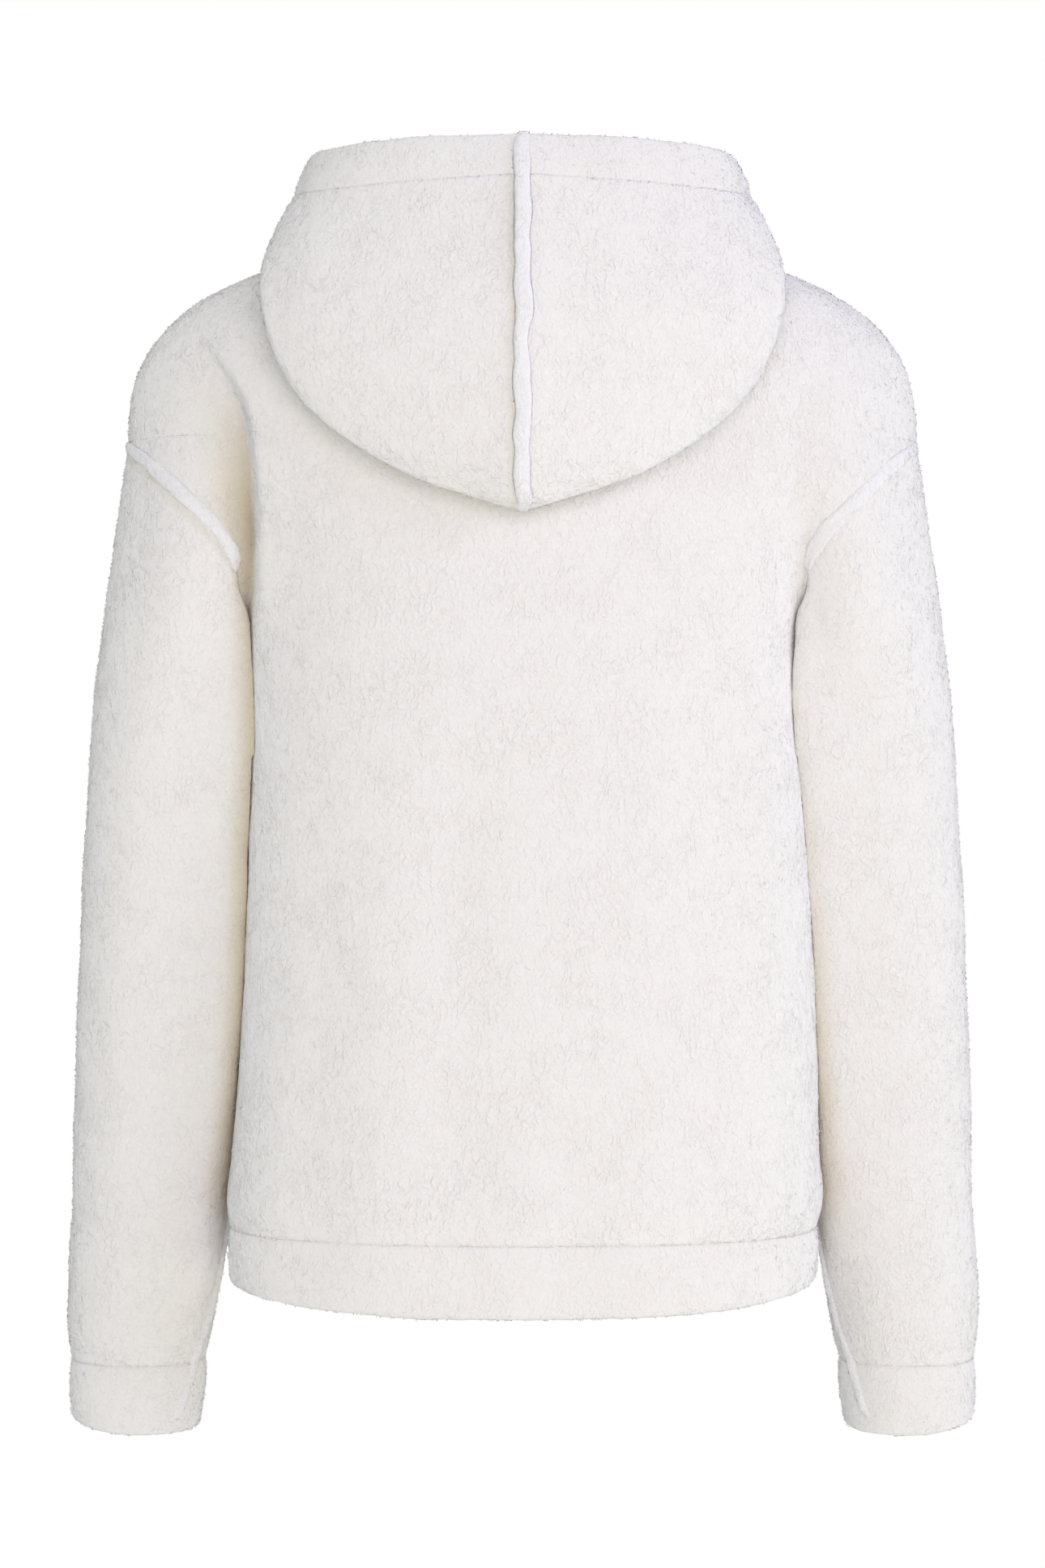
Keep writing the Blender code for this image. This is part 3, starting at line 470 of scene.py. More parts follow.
def shoulder_depth(face, side, x, z):
    """How far a face stands out between the top of the armhole and the underarm."""
    rounding = CREASE_ROUND["left" if side > 0 else "right"] * ramp(x, *CREASE_ROUND_FROM)
    rounding = rounding * (1 - ramp(-z, *CREASE_ROUND_ENDS))
    depth = column(BODY_SECTIONS, BODY_COLUMNS, face, z)
    half = column(BODY_SECTIONS, BODY_COLUMNS, "half_width", z)
    outer, inner, arm_depth = (
        column(ARM_SECTIONS, ARM_COLUMNS, name, z) for name in ARM_COLUMNS[1:]
    )
    whole = bulge(x, 0, outer, depth, PLAN_POWER)
    trunk = bulge(x, 0, half, depth, BODY_POWER)
    arm = bulge(x, (outer + inner) / 2, (outer - inner) / 2, arm_depth, 2)
    apart = (trunk + arm + np.sqrt((trunk - arm) ** 2 + rounding**2)) / 2
    return whole + (apart - whole) * ramp(-z, SHOULDER_RISE, -ARM_APART_Z)


# %% Sections from the middle to a seam
def armhole_ring(face, side, end):
    """A level section from the middle of the body to a point on the armhole seam."""
    z = end[2]
    x = end[0] * superellipse(np.linspace(0, math.pi / 2, SECTION_POINTS), BODY_POWER)[0]
    y = shoulder_depth(face, side, x, z)
    y = y - crease(face, side, x, z) * ramp(y, 0.0, CREASE_FADE) - hollows(face, side, x, z)
    y = y + (end[1] - y[-1]) * ramp(x, ARMHOLE_BLEND * end[0], end[0])
    return np.stack([x, y, np.full_like(x, z)], axis=1)


def trunk_ring(face, side, z):
    """A level section of the body below the underarm, from its middle to the side seam."""
    wide, deep = superellipse(np.linspace(0, math.pi / 2, SECTION_POINTS), BODY_POWER)
    x = column(BODY_SECTIONS, BODY_COLUMNS, "half_width", z) * wide
    y = column(BODY_SECTIONS, BODY_COLUMNS, face, z) * deep
    y = y - hollows(face, side, x, z) * ramp(y, *HOLLOW_SIDES)
    x = x + side * column(BODY_SECTIONS, BODY_COLUMNS, "middle", z)
    return np.stack([x, y, np.full_like(x, z)], axis=1)


# %% The armhole seam
def armhole_half(side, steps=ARMHOLE_STEPS):
    """One side's armhole seam from the top of the arm to the underarm, laid on the left back."""
    points = np.array(ARMHOLE_HALF)
    both_ways = np.concatenate([points[1:2], points, points[-2:-1]])
    keys = np.arange(-1.0, len(points) + 1.0)
    along = np.linspace(0, 1, SECTION_POINTS)
    x, z = smooth(both_ways, keys, along * (len(points) - 1)).T
    y = shoulder_depth("back", side, x, z)
    y = y - y[-1] * ramp(along, ARMHOLE_CLOSING, 1.0)
    line = at_shares(np.stack([x, y, z], axis=1), np.linspace(0, 1, steps + 1))
    line[0, 1] = 0.0
    return line


# %% [markdown]
# ### Panels from sections
#
# Points are taken from each section at even shares of its length, so neighbouring sections line up
# and a grid of points covers half a panel. The cross product of the grid's two directions faces
# out of the cloth. At an edge that is sewn to another piece both pieces use one shared direction,
# and so their thickness meets face to face.


# %% Half panels
def placed(points, face, side):
    """Points made for the left half of the back, turned to another half."""
    return points * np.array([side, 1 if face == "back" else -1, 1])


def plain_half(face, side):
    shares = np.sin(np.arange(SHOULDER_ROWS) / SHOULDER_ROWS * math.pi / 2)
    rings = [dome_ring(face, side, share) for share in shares]
    rings += [armhole_ring(face, side, end) for end in armhole_half(side)]
    levels = np.linspace(UNDERARM_Z, HEM_SEAM_Z, TRUNK_ROWS + 1)[1:]
    rings += [trunk_ring(face, side, z) for z in levels]
    grid = placed(np.stack([at_shares(ring, body_shares) for ring in rings]), face, side)
    out = unit(np.cross(np.gradient(grid, axis=1), np.gradient(grid, axis=0)))
    out *= side * (1 if face == "back" else -1)
    out[:, 0] = square_to(out[:, 0], np.array([1.0, 0.0, 0.0]))
    return grid, out


halves = {(face, side): plain_half(face, side) for face in ("back", "front") for side in (1, -1)}
print("points of half a panel:", halves["back", 1][0].shape[:2])


# %% Directions at the seams
def armhole_directions(side):
    """Outward directions down the back half of an armhole. The front half mirrors them."""
    back, front = (halves[face, side][1][ARMHOLE_ROWS, -1] for face in ("back", "front"))
    both = unit(back + front * [1, -1, 1])
    both[0] = square_to(both[0], np.array([0.0, 1.0, 0.0]))
    down = ramp(np.linspace(0, 1, ARMHOLE_STEPS + 1), ARMHOLE_TURNING, 1.0)[:, None]
    return unit(both * (1 - down) + down * [0, 0, -1])


EDGE_TURN = 0.012  # width of the strip in which the cloth turns to suit the seam


def half_panel(face, side):
    grid, out = (values.copy() for values in halves[face, side])
    edge = out[:, -1].copy()
    shoulder, trunk = slice(0, ARMHOLE_ROWS.start), slice(ARMHOLE_ROWS.stop, None)
    edge[shoulder] = square_to(edge[shoulder], np.array([0.0, 1.0, 0.0]))
    edge[trunk] = unit(edge[trunk] * [1, 0, 0])
    edge[ARMHOLE_ROWS] = armhole_directions(side) * [1, 1 if face == "back" else -1, 1]
    away = np.linalg.norm(grid - grid[:, -1:], axis=2)
    turned = (1 - ramp(away, 0, EDGE_TURN))[..., None]
    out = unit(out * (1 - turned) + edge[:, None] * turned)
    out[-1] = square_to(out[-1], np.array([0.0, 0.0, 1.0]))
    return grid, out


half_panels = {key: half_panel(*key) for key in halves}


# %% Whole panels
def body_panel(face):
    """Outer points and outward directions of a whole body panel."""
    whole = []
    for side in (-1, 1):
        grid, out = (values.copy() for values in half_panels[face, side])
        grid[:, -1] += unit(grid[:, -2] - grid[:, -1]) * SEAM_GAP / 2
        whole.append((grid, out))
    (right, right_out), (left, left_out) = whole
    return (
        np.concatenate([right[:, :0:-1], left], axis=1),
        np.concatenate([right_out[:, :0:-1], left_out], axis=1),
    )


# %% [markdown]
# ## The sleeves
#
# A sleeve is one piece of fleece, closed by a seam on its inner side. It starts on the slanting
# armhole, turns down and hangs slightly forward, because the arm in it would be bent a little.
# Shallow folds lie across it, more of them on the inner side of the bend. Below the underarm it
# rests against the body: there its inner back corner is pressed nearly square, and points that
# would stand off the body by a little are drawn onto it.

# %% Sizes of the sleeves
SLEEVE_COLUMNS = ("z", "outer", "inner", "middle_y", "half_depth")
SLEEVE_SECTIONS = (
    (-0.300, 0.2545, 0.1610, -0.020, 0.0640),
    (-0.378, 0.2605, 0.1620, -0.030, 0.0600),
    (-0.473, 0.2652, 0.1660, -0.039, 0.0560),
    (-0.568, 0.2685, 0.1760, -0.046, 0.0510),
    (-0.639, 0.2720, 0.1860, -0.050, 0.0460),
    (-0.658, 0.2700, 0.1900, -0.051, 0.0415),
    (-0.680, 0.2728, 0.1920, -0.052, 0.0415),
    (-0.699, 0.2700, 0.1940, -0.053, 0.0395),
)
SLEEVE_POWER = 2.15
SLEEVE_CLEAR, SLEEVE_CLEAR_ROUND, SLEEVE_CLEAR_START = 0.0008, 0.002, (-0.004, 0.022)
SNUG_STARTS, SNUG_ENDS = (0.195, 0.225), (0.44, 0.56)  # how far down it begins and stops to lie close
SNUG_GAP, SNUG_ROWS = (0.001, 0.022), 6
PRESS_COLUMNS = ("z", "left", "right", "inwards")  # the corner's power on each side, and a shift
PRESSED = (
    (-0.300, 6.0, 7.0, 0.0060),
    (-0.378, 6.0, 7.0, 0.0055),
    (-0.450, 5.0, 5.0, 0.0035),
    (-0.540, 3.2, 3.2, 0.0015),
    (-0.600, 2.15, 2.15, 0.0000),
)
SLEEVE_LEAVES_TOP = (0.12, 0.0, -1.0)
SLEEVE_LEAVES_UNDER = (0.008, 0.0, -0.030)
SLEEVE_UNDER_SHARE = 0.60
SLEEVE_ARRIVES = (0.05, -0.08, -1.0)
CUFF_SEAM_Z, CUFF_Z = -0.658, -0.700
CUFF_RISE, CUFF_RISE_POWER = 0.0060, 4  # a cuff rides up on its outer side
SLEEVE_FOLDS = (  # side, z, turn, half height, half turn, depth
    ("left", -0.352, 0.36, 0.016, 0.10, 0.0035),
    ("left", -0.398, 0.30, 0.018, 0.12, 0.0040),
    ("left", -0.455, 0.62, 0.020, 0.12, 0.0045),
    ("left", -0.618, 0.20, 0.013, 0.16, 0.0030),
    ("right", -0.372, 0.60, 0.017, 0.11, 0.0040),
    ("right", -0.424, 0.42, 0.026, 0.09, 0.0060),
    ("right", -0.500, 0.28, 0.018, 0.12, 0.0035),
    ("right", -0.622, 0.24, 0.012, 0.14, 0.0030),
)
print("folds across the sleeves:", len(SLEEVE_FOLDS))


# %% Folds across a sleeve
def sleeve_dent(name, z, turns):
    depth = turns * 0.0
    for side, fold_z, fold_turn, half_height, half_turn, most in SLEEVE_FOLDS:
        if side == name:
            away = np.abs(turns - fold_turn)
            away = np.minimum(away, 1 - away)
            near = ((z - fold_z) / half_height) ** 2 + (away / half_turn) ** 2
            depth = depth + most * np.exp(-near)
    return depth


# %% Beside the body
def body_side(name, y, z):
    """How far out the side of the body lies beside a sleeve."""
    half, back, front, middle = (
        column(BODY_SECTIONS, BODY_COLUMNS, wanted, z) for wanted in BODY_COLUMNS[1:]
    )
    return bulge(y, 0, np.where(y > 0, back, front), half, BODY_POWER) + SIDES[name] * middle


def clear_of_body(name, points, share=1.0):
    """Points of a sleeve, made on the left side, laid against the body but never into it."""
    x, y, z = points[..., 0], points[..., 1], points[..., 2]
    side = body_side(name, y, z) + SLEEVE_CLEAR
    pushed = (x + side + np.sqrt((x - side) ** 2 + SLEEVE_CLEAR_ROUND**2)) / 2
    x = x + (pushed - x) * ramp(UNDERARM_Z - z, *SLEEVE_CLEAR_START)
    gap = np.maximum(x - side, 0)
    snug = share * ramp(-z, *SNUG_STARTS) * (1 - ramp(-z, *SNUG_ENDS)) * (1 - ramp(gap, *SNUG_GAP))
    return np.stack([x - gap * snug, y, z], axis=-1)


# %% Sections of a sleeve
def sleeve_ring(name, z, turns):
    """A level section of a sleeve, on the left side, at shares of the way round it."""
    outer, inner, middle_y, half_depth = (
        column(SLEEVE_SECTIONS, SLEEVE_COLUMNS, wanted, z) for wanted in SLEEVE_COLUMNS[1:]
    )
    turns = np.asarray(turns, float)
    cosine, sine = np.cos(2 * math.pi * turns), np.sin(2 * math.pi * turns)
    dent = 1.0 - sleeve_dent(name, z, turns) / half_depth
    inner = inner - column(PRESSED, PRESS_COLUMNS, "inwards", z)
    wide = np.sign(cosine) * np.abs(cosine) ** (2 / SLEEVE_POWER)
    deep = np.sign(sine) * np.abs(sine) ** (2 / SLEEVE_POWER)
    power = column(PRESSED, PRESS_COLUMNS, name, z)
    corner = superellipse(np.linspace(0, math.pi / 2, SECTION_POINTS), power)
    corner = np.stack([*corner, corner[0] * 0], axis=1)
    pressed = (turns > 0.25) & (turns < 0.5)
    if pressed.any():
        spots = at_shares(corner, 4 * turns[pressed] - 1)
        wide[pressed], deep[pressed] = -spots[:, 0], spots[:, 1]
    wide, deep = wide * dent, deep * dent
    x = (outer + inner) / 2 + (outer - inner) / 2 * wide
    return clear_of_body(name, np.stack([x, middle_y + half_depth * deep, x * 0 + z], axis=-1))


# %% From armhole to cuff
def all_round(back):
    """A line or a set of directions down the back of an armhole, carried on up the front."""
    return np.concatenate([back, (back * [1, -1, 1])[-2:0:-1]])


def sleeve_grid(name):
    """Outer points of a sleeve, made on the left side, rows from the armhole to the cuff seam."""
    loop = all_round(armhole_half(SIDES[name]))
    turns = np.arange(len(loop)) / len(loop)
    first_z = SLEEVE_SECTIONS[0][0]
    first = sleeve_ring(name, first_z, turns)
    under = ramp(1 - np.abs(turns - 0.5) * 2, SLEEVE_UNDER_SHARE, 1.0)[:, None]
    fall = np.abs(loop[:, 2:] - first_z)
    leave = (1 - under) * fall * SLEEVE_LEAVES_TOP + under * SLEEVE_LEAVES_UNDER
    arrive = fall * SLEEVE_ARRIVES
    rows = [hermite(loop, leave, first, arrive, k / SLEEVE_TOP_ROWS) for k in range(SLEEVE_TOP_ROWS)]
    rows[1:] = [clear_of_body(name, row, ramp(k + 1, 0, SNUG_ROWS)) for k, row in enumerate(rows[1:])]
    levels = np.linspace(first_z, CUFF_SEAM_Z, SLEEVE_ROWS + 1)
    return np.stack(rows + [sleeve_ring(name, z, turns) for z in levels])


# %% [markdown]
# ## The hood
#
# Hanging down the back, a hood becomes a pouch: the cloth rises from the neck seam, rolls over,
# lies down the back, turns round at the bottom and comes up again as the layer that shows, to a
# rim that stands open behind the neck. Eight lines round the neck describe that. Each is given at
# seven places from the middle of the back (0) over the shoulder (1) to the middle of the front (2).

# %% Sizes of the hood
HOOD_SHARES = (0.0, 0.25, 0.5, 0.75, 1.0, 1.5, 2.0)
HOOD_LINES = {
    "roll": (
        (0.000, 0.083, 0.000), (0.046, 0.078, 0.003), (0.078, 0.060, 0.007), (0.100, 0.031, 0.010),
        (0.106, -0.002, 0.008), (0.083, -0.067, -0.012), (0.000, -0.109, -0.065),
    ),
    "lay": (
        (0.000, 0.114, -0.075), (0.056, 0.110, -0.064), (0.100, 0.093, -0.040),
        (0.124, 0.060, -0.014), (0.117, 0.004, 0.005), (0.092, -0.071, -0.016),
        (0.000, -0.116, -0.068),
    ),
    "under": (
        (0.000, 0.118, -0.146), (0.064, 0.115, -0.124), (0.113, 0.103, -0.084),
        (0.138, 0.074, -0.032), (0.129, 0.011, -0.002), (0.101, -0.075, -0.018),
        (0.000, -0.122, -0.068),
    ),
    "fold": (
        (0.000, 0.132, -0.165), (0.069, 0.128, -0.141), (0.122, 0.112, -0.101),
        (0.146, 0.086, -0.046), (0.1375, 0.018, 0.000), (0.108, -0.079, -0.016),
        (0.000, -0.1265, -0.064),
    ),
    "over": (
        (0.000, 0.152, -0.150), (0.072, 0.139, -0.126), (0.128, 0.122, -0.088),
        (0.1465, 0.099, -0.034), (0.1375, 0.019, 0.008), (0.111, -0.081, -0.011),
        (0.000, -0.129, -0.058),
    ),
    "belly": (
        (0.000, 0.166, -0.075), (0.073, 0.148, -0.060), (0.126, 0.123, -0.036),
        (0.1370, 0.085, -0.001), (0.1335, 0.014, 0.014), (0.110, -0.082, -0.006),
        (0.000, -0.130, -0.053),
    ),
    "rim_seam": (
        (0.000, 0.149, 0.019), (0.067, 0.132, 0.017), (0.112, 0.107, 0.016),
        (0.1295, 0.061, 0.020), (0.129, 0.006, 0.023), (0.106, -0.082, 0.001),
        (0.000, -0.131, -0.047),
    ),
    "rim": (
        (0.000, 0.135, 0.044), (0.063, 0.125, 0.0434), (0.1075, 0.096, 0.0425),
        (0.121, 0.052, 0.044), (0.120, -0.001, 0.044), (0.100, -0.083, 0.024),
        (0.000, -0.131, -0.022),
    ),
}

# %% Columns of the hood
NECK_TURN = 0.006  # length over which the hood's cloth turns up from the neck seam
fine_shares = np.linspace(0, 2, SECTION_POINTS)
belly_length = lengths(smooth(np.array(HOOD_LINES["belly"]), HOOD_SHARES, fine_shares))
hood_shares = np.interp(np.linspace(0, belly_length[-1], HOOD_STEPS + 1), belly_length, fine_shares)
print("hood columns every", round(1000 * belly_length[-1] / HOOD_STEPS, 2), "mm")


# %% Lines round the neck
def hood_line(name, side):
    return smooth(np.array(HOOD_LINES[name]), HOOD_SHARES, hood_shares) * [side, 1, 1]


def neck_edge(side):
    """The neckline's outer and inner edges and the way up across it, from back to front."""
    sets = []
    for face, turn in (("back", 1), ("front", -1)):
        grid, out = half_panels[face, side]
        up = square_to(grid[0] - grid[1], out[0])
        sets.append([values[::turn] for values in (grid[0], grid[0] - out[0] * FLEECE, up)])
    sets[0][2][-1] = unit(sets[0][2][-1] + sets[1][2][0])
    shares = np.concatenate([body_shares, 1 + body_shares[1:]])
    joined = [np.concatenate([back, front[1:]]) for back, front in zip(*sets)]
    return [
        np.stack([np.interp(hood_shares, shares, values[:, k]) for k in range(3)], axis=1)
        for values in joined
    ]


# %% The hood's surface
def hood_grid(side):
    """Outer points and directions of half the hood: rows from the neck seam to the rim seam."""
    outer, inner, upward = neck_edge(side)
    lines = [outer + upward * SEAM_GAP] + [hood_line(name, side) for name in list(HOOD_LINES)[:-1]]
    lines = np.stack(lines)
    steps = np.linalg.norm(np.diff(lines, axis=0), axis=2) ** 0.5
    keys = np.concatenate([np.zeros((1, steps.shape[1])), np.cumsum(steps, axis=0)])
    places = [span + k / count for span, count in enumerate(HOOD_SPANS) for k in range(count)]
    places = np.array(places + [len(HOOD_SPANS)])
    spans = np.minimum(places.astype(int), len(HOOD_SPANS) - 1)
    grid = np.empty((len(places), lines.shape[1], 3))
    for col in range(lines.shape[1]):
        step = keys[spans + 1, col] - keys[spans, col]
        grid[:, col] = smooth(lines[:, col], keys[:, col], keys[spans, col] + (places - spans) * step)
    out = unit(np.cross(np.gradient(grid, axis=0), np.gradient(grid, axis=1))) * side
    start = (1 - ramp(lengths(grid[:, 0]), 0, NECK_TURN))[:, None, None]
    out = unit(out * (1 - start) - upward * start)
    end = (1 - ramp(lengths(grid[::-1, 0])[::-1], 0, EDGE_TURN))[:, None, None]
    band_out = np.cross(hood_line("rim", side) - grid[-1], np.gradient(grid[-1], axis=0)) * side
    out = unit(out * (1 - end) + unit(out[-1] + unit(band_out)) * end)
    inner = inner + upward * SEAM_GAP
    across = [inner + (grid[0] - inner) * k / COARSE for k in range(COARSE)]
    grid = np.concatenate([np.stack(across), grid])
    out = np.concatenate([np.broadcast_to(-upward, (COARSE, *upward.shape)), out])
    for edge in (0, -1):
        out[:, edge] = square_to(out[:, edge], np.array([1.0, 0.0, 0.0]))
        grid[:, edge, 0] = side * SEAM_GAP / 2
    return grid, out


# %% [markdown]
# ## From points to cloth
#
# Every piece is a wall of fleece: a fine grid of points outside, a rough one inside, and six-sided
# faces that join three fine steps to one rough step along the edges, so that the mesh is closed.
# The outside is raised by the height of the pile, but not at the edges, where stitches pull the
# cloth down. That leaves a soft valley along every seam. How much pile there is at each point is
# kept as an attribute, because clumps, tufts and finish all need it: the finish paints shade where
# the pile is low.

# %% Pile at the edges
PILE_HEIGHT = 0.0011
PILE_PROUD = 0.0004  # how far the pile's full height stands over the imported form
VALLEY = 0.0036  # how far from a seam the pile still lies low


def along(grid, axis):
    """How far along each row or column of a grid its points lie."""
    steps = np.linalg.norm(np.diff(grid, axis=axis), axis=2)
    return np.concatenate([np.take(steps, [0], axis) * 0, np.cumsum(steps, axis=axis)], axis=axis)


def pile_at(grid, edges):
    """Share of the pile's full height at each point, given how far it is held down at each edge."""
    down, across = along(grid, 0), along(grid, 1)
    far = {"top": down, "bottom": down[-1] - down, "first": across, "last": across[:, -1:] - across}
    return np.prod([1 - held * np.exp(-far[edge] / VALLEY) for edge, held in edges.items()], axis=0)


# %% Faces between points
def quads(numbers):
    """The four-sided faces between the numbered points of a grid."""
    corners = (numbers[:-1, :-1], numbers[:-1, 1:], numbers[1:, 1:], numbers[1:, :-1])
    return np.stack(corners, axis=-1).reshape(-1, 4).tolist()


def joined_edge(fine, rough):
    """Six-sided faces between a fine edge and a rough one."""
    steps = range(len(rough) - 1)
    return [[*fine[COARSE * k : COARSE * (k + 1) + 1], rough[k + 1], rough[k]] for k in steps]


# %% A closed mesh with its attributes
made_pieces = {}


def close_up(mesh):
    """Turns all faces outwards and says how many edges don't join exactly two of them."""
    work = bmesh.new()
    work.from_mesh(mesh)
    bmesh.ops.recalc_face_normals(work, faces=work.faces)
    if work.calc_volume(signed=True) < 0:
        bmesh.ops.reverse_faces(work, faces=work.faces)
    open_edges = sum(not edge.is_manifold for edge in work.edges)
    work.to_mesh(mesh)
    work.free()
    return open_edges


def piece_from(name, points, faces, pile, uv, finishes, inside_from=None, turn=0.0, fold=None):
    """A mesh object with its pile and fold attributes, its UV map in metres and its finishes."""
    mesh = bpy.data.meshes.new(name)
    mesh.from_pydata(points.tolist(), [], faces)
    open_edges = close_up(mesh)
    mesh.shade_smooth()
    mesh.attributes.new("pile", "FLOAT", "POINT").data.foreach_set("value", pile)
    if fold is not None:
        mesh.attributes.new("fold", "FLOAT", "POINT").data.foreach_set("value", fold)
    corner = np.empty(len(mesh.loops), int)
    mesh.loops.foreach_get("vertex_index", corner)
    spots = uv[corner]
    if turn:
        starts, counts = (np.empty(len(mesh.polygons), int) for _ in range(2))
        mesh.polygons.foreach_get("loop_start", starts)
        mesh.polygons.foreach_get("loop_total", counts)
        highest = np.repeat(np.maximum.reduceat(spots[:, 0], starts), counts)
        spots[:, 0] += turn * (spots[:, 0] < highest - turn / 2)
    mesh.uv_layers.new(name="cloth").data.foreach_set("uv", spots.ravel())
    for finish in finishes:
        mesh.materials.append(finish)
    if inside_from is not None:
        inside = np.array([min(face.vertices) >= inside_from for face in mesh.polygons], int)
        mesh.polygons.foreach_set("material_index", inside)
    piece = bpy.data.objects.new(name, mesh)
    bpy.context.scene.collection.objects.link(piece)
    made_pieces[name] = piece
    print(name, len(mesh.polygons), "faces,", open_edges, "open edges")
    return piece


# %% Walls and swept solids
def shell(name, outer, out, edges, finishes, fold, wrap=False):
    """A closed wall of fleece, whose columns meet round a tube if wrap is set."""
    pile = pile_at(outer, edges)
    inner = (outer - out * (FLEECE * (1 + fold[..., None])))[::COARSE, ::COARSE]
    raised = outer + out * (PILE_PROUD - PILE_HEIGHT * (1 - pile))[..., None]
    across, down = along(outer, 1), along(outer, 0)
    uv = np.stack([across, -down], axis=-1)
    fine = np.arange(outer[..., 0].size).reshape(outer.shape[:2])
    rough = fine.size + np.arange(inner[..., 0].size).reshape(inner.shape[:2])
    turn = 0.0
    if wrap:
        fine, rough = (np.concatenate([numbers, numbers[:, :1]], axis=1) for numbers in (fine, rough))
        turn = float(across[:, -1].mean() * (1 + 1 / (outer.shape[1] - 1)))
    lines = [(fine[0], rough[0]), (fine[-1], rough[-1])]
    if not wrap:
        lines += [(fine[:, 0], rough[:, 0]), (fine[:, -1], rough[:, -1])]
    faces = quads(fine) + quads(rough)
    for pair in lines:
        faces += joined_edge(*(line.tolist() for line in pair))
    points = np.concatenate([raised.reshape(-1, 3), inner.reshape(-1, 3)])
    pile = np.concatenate([pile.ravel(), np.zeros(inner[..., 0].size)])
    fold = np.concatenate([fold.ravel(), np.zeros(inner[..., 0].size)])
    uv = np.concatenate([uv.reshape(-1, 2), uv[::COARSE, ::COARSE].reshape(-1, 2)])
    return piece_from(name, points, faces, pile, uv, finishes, outer[..., 0].size, turn, fold)


def swept(name, loops, pile, finishes, wrap=False):
    """A solid whose closed outline is carried along a path: loops are its outlines in turn."""
    count, sides = loops.shape[:2]
    numbers = np.arange(count * sides).reshape(count, sides)
    numbers = np.concatenate([numbers, numbers[:, :1]], axis=1)
    if wrap:
        numbers = np.concatenate([numbers, numbers[:1]])
    faces = quads(numbers)
    if not wrap:
        faces += [numbers[0, :-1].tolist(), numbers[-1, :-1].tolist()]
    uv = np.stack([along(loops, 0), along(loops, 1)], axis=-1).reshape(-1, 2)
    pile = np.broadcast_to(pile, (count, sides)).ravel()
    turn = float(lengths(loops[:, 0])[-1]) if wrap else 0.0
    return piece_from(name, loops.reshape(-1, 3), faces, pile, uv, finishes, turn=turn)


# %% [markdown]
# ## Finishes
#
# Sherpa is a knitted backing with long pile, which is washed until it curls into small locks. From
# a step away one sees pale clumps and, between them, thin winding cracks in shade. That shade is
# painted into the colour, darker and warmer, and so is the shade of the low pile along seams. A
# finish like that needs two scales: cracks where a noise passes through its middle value and round
# the cells of a warped Voronoi pattern, and a fine curl on top. All of it is read at Object
# coordinates, so it lies in space at the right size and no seam of a UV map shows.


# %% A plain finish
CLOTH_SHINE = 0.15
SHEEN_ROUGHNESS, SHEEN_TINT = 0.45, (0.93, 0.94, 1.0, 1)


def finish(name, colour, roughness, sheen=0.0):
    material = bpy.data.materials.new(name)
    material.use_nodes = True
    shader = material.node_tree.nodes["Principled BSDF"]
    shader.inputs["Base Color"].default_value = (*colour, 1)
    shader.inputs["Roughness"].default_value = roughness
    shader.inputs["Diffuse Roughness"].default_value = 1.0
    shader.inputs["Specular IOR Level"].default_value = CLOTH_SHINE
    shader.inputs["Sheen Weight"].default_value = sheen
    shader.inputs["Sheen Roughness"].default_value = SHEEN_ROUGHNESS
    shader.inputs["Sheen Tint"].default_value = SHEEN_TINT
    return material, material.node_tree, shader


# %% Sizes and colours of the fleece
# The shade colours below are painted shade, for cracks, for low pile along seams and for folds.
FLEECE_LIGHT, FLEECE_SHADE = (0.945, 0.929, 0.900), (0.860, 0.800, 0.715)
PAINTED_FOLD_SHADE = (0.745, 0.675, 0.500)
TURNED_LIGHT = (0.940, 0.923, 0.892)
BRUSHED_LIGHT, BRUSHED_SHADE = (0.955, 0.945, 0.940), (0.84, 0.77, 0.67)
LOCK, BRUSHED_LOCK = 0.0030, 0.0026  # across one lock of pile
SHALLOW = 0.8  # share of the cracks' depth on turned and brushed cloth
# The cracks get painted shade, darker and warmer, up to this share of the shade colour.
CRACK_DEPTH, CRACK_SHADE = 0.0011, 0.30
BEND_SCALE, BEND_MOST = 0.35, 2.6  # these scales are in locks
WORM_SCALE, CURL_SCALE, PATCH_SCALE = 0.62, 3.2, 0.12
HANGING = (1, 1, 0.52)  # washed pile hangs, so its cracks are longer than wide
WORM_SHARE, CELL_SHARE, CURL_SHARE = 0.42, 0.58, 0.25
WORM_ROUND, CELL_ROUND = 0.12, 0.45  # where a lock's side has reached its full height
WORM_DARK, CELL_DARK = 0.045, 0.16  # how far from a crack its painted shade reaches
PRESSED_PILE, PRESSED_PILE_SHADE = 0.75, 0.36  # pile lower than this share, in the valley along a seam, gets painted shade
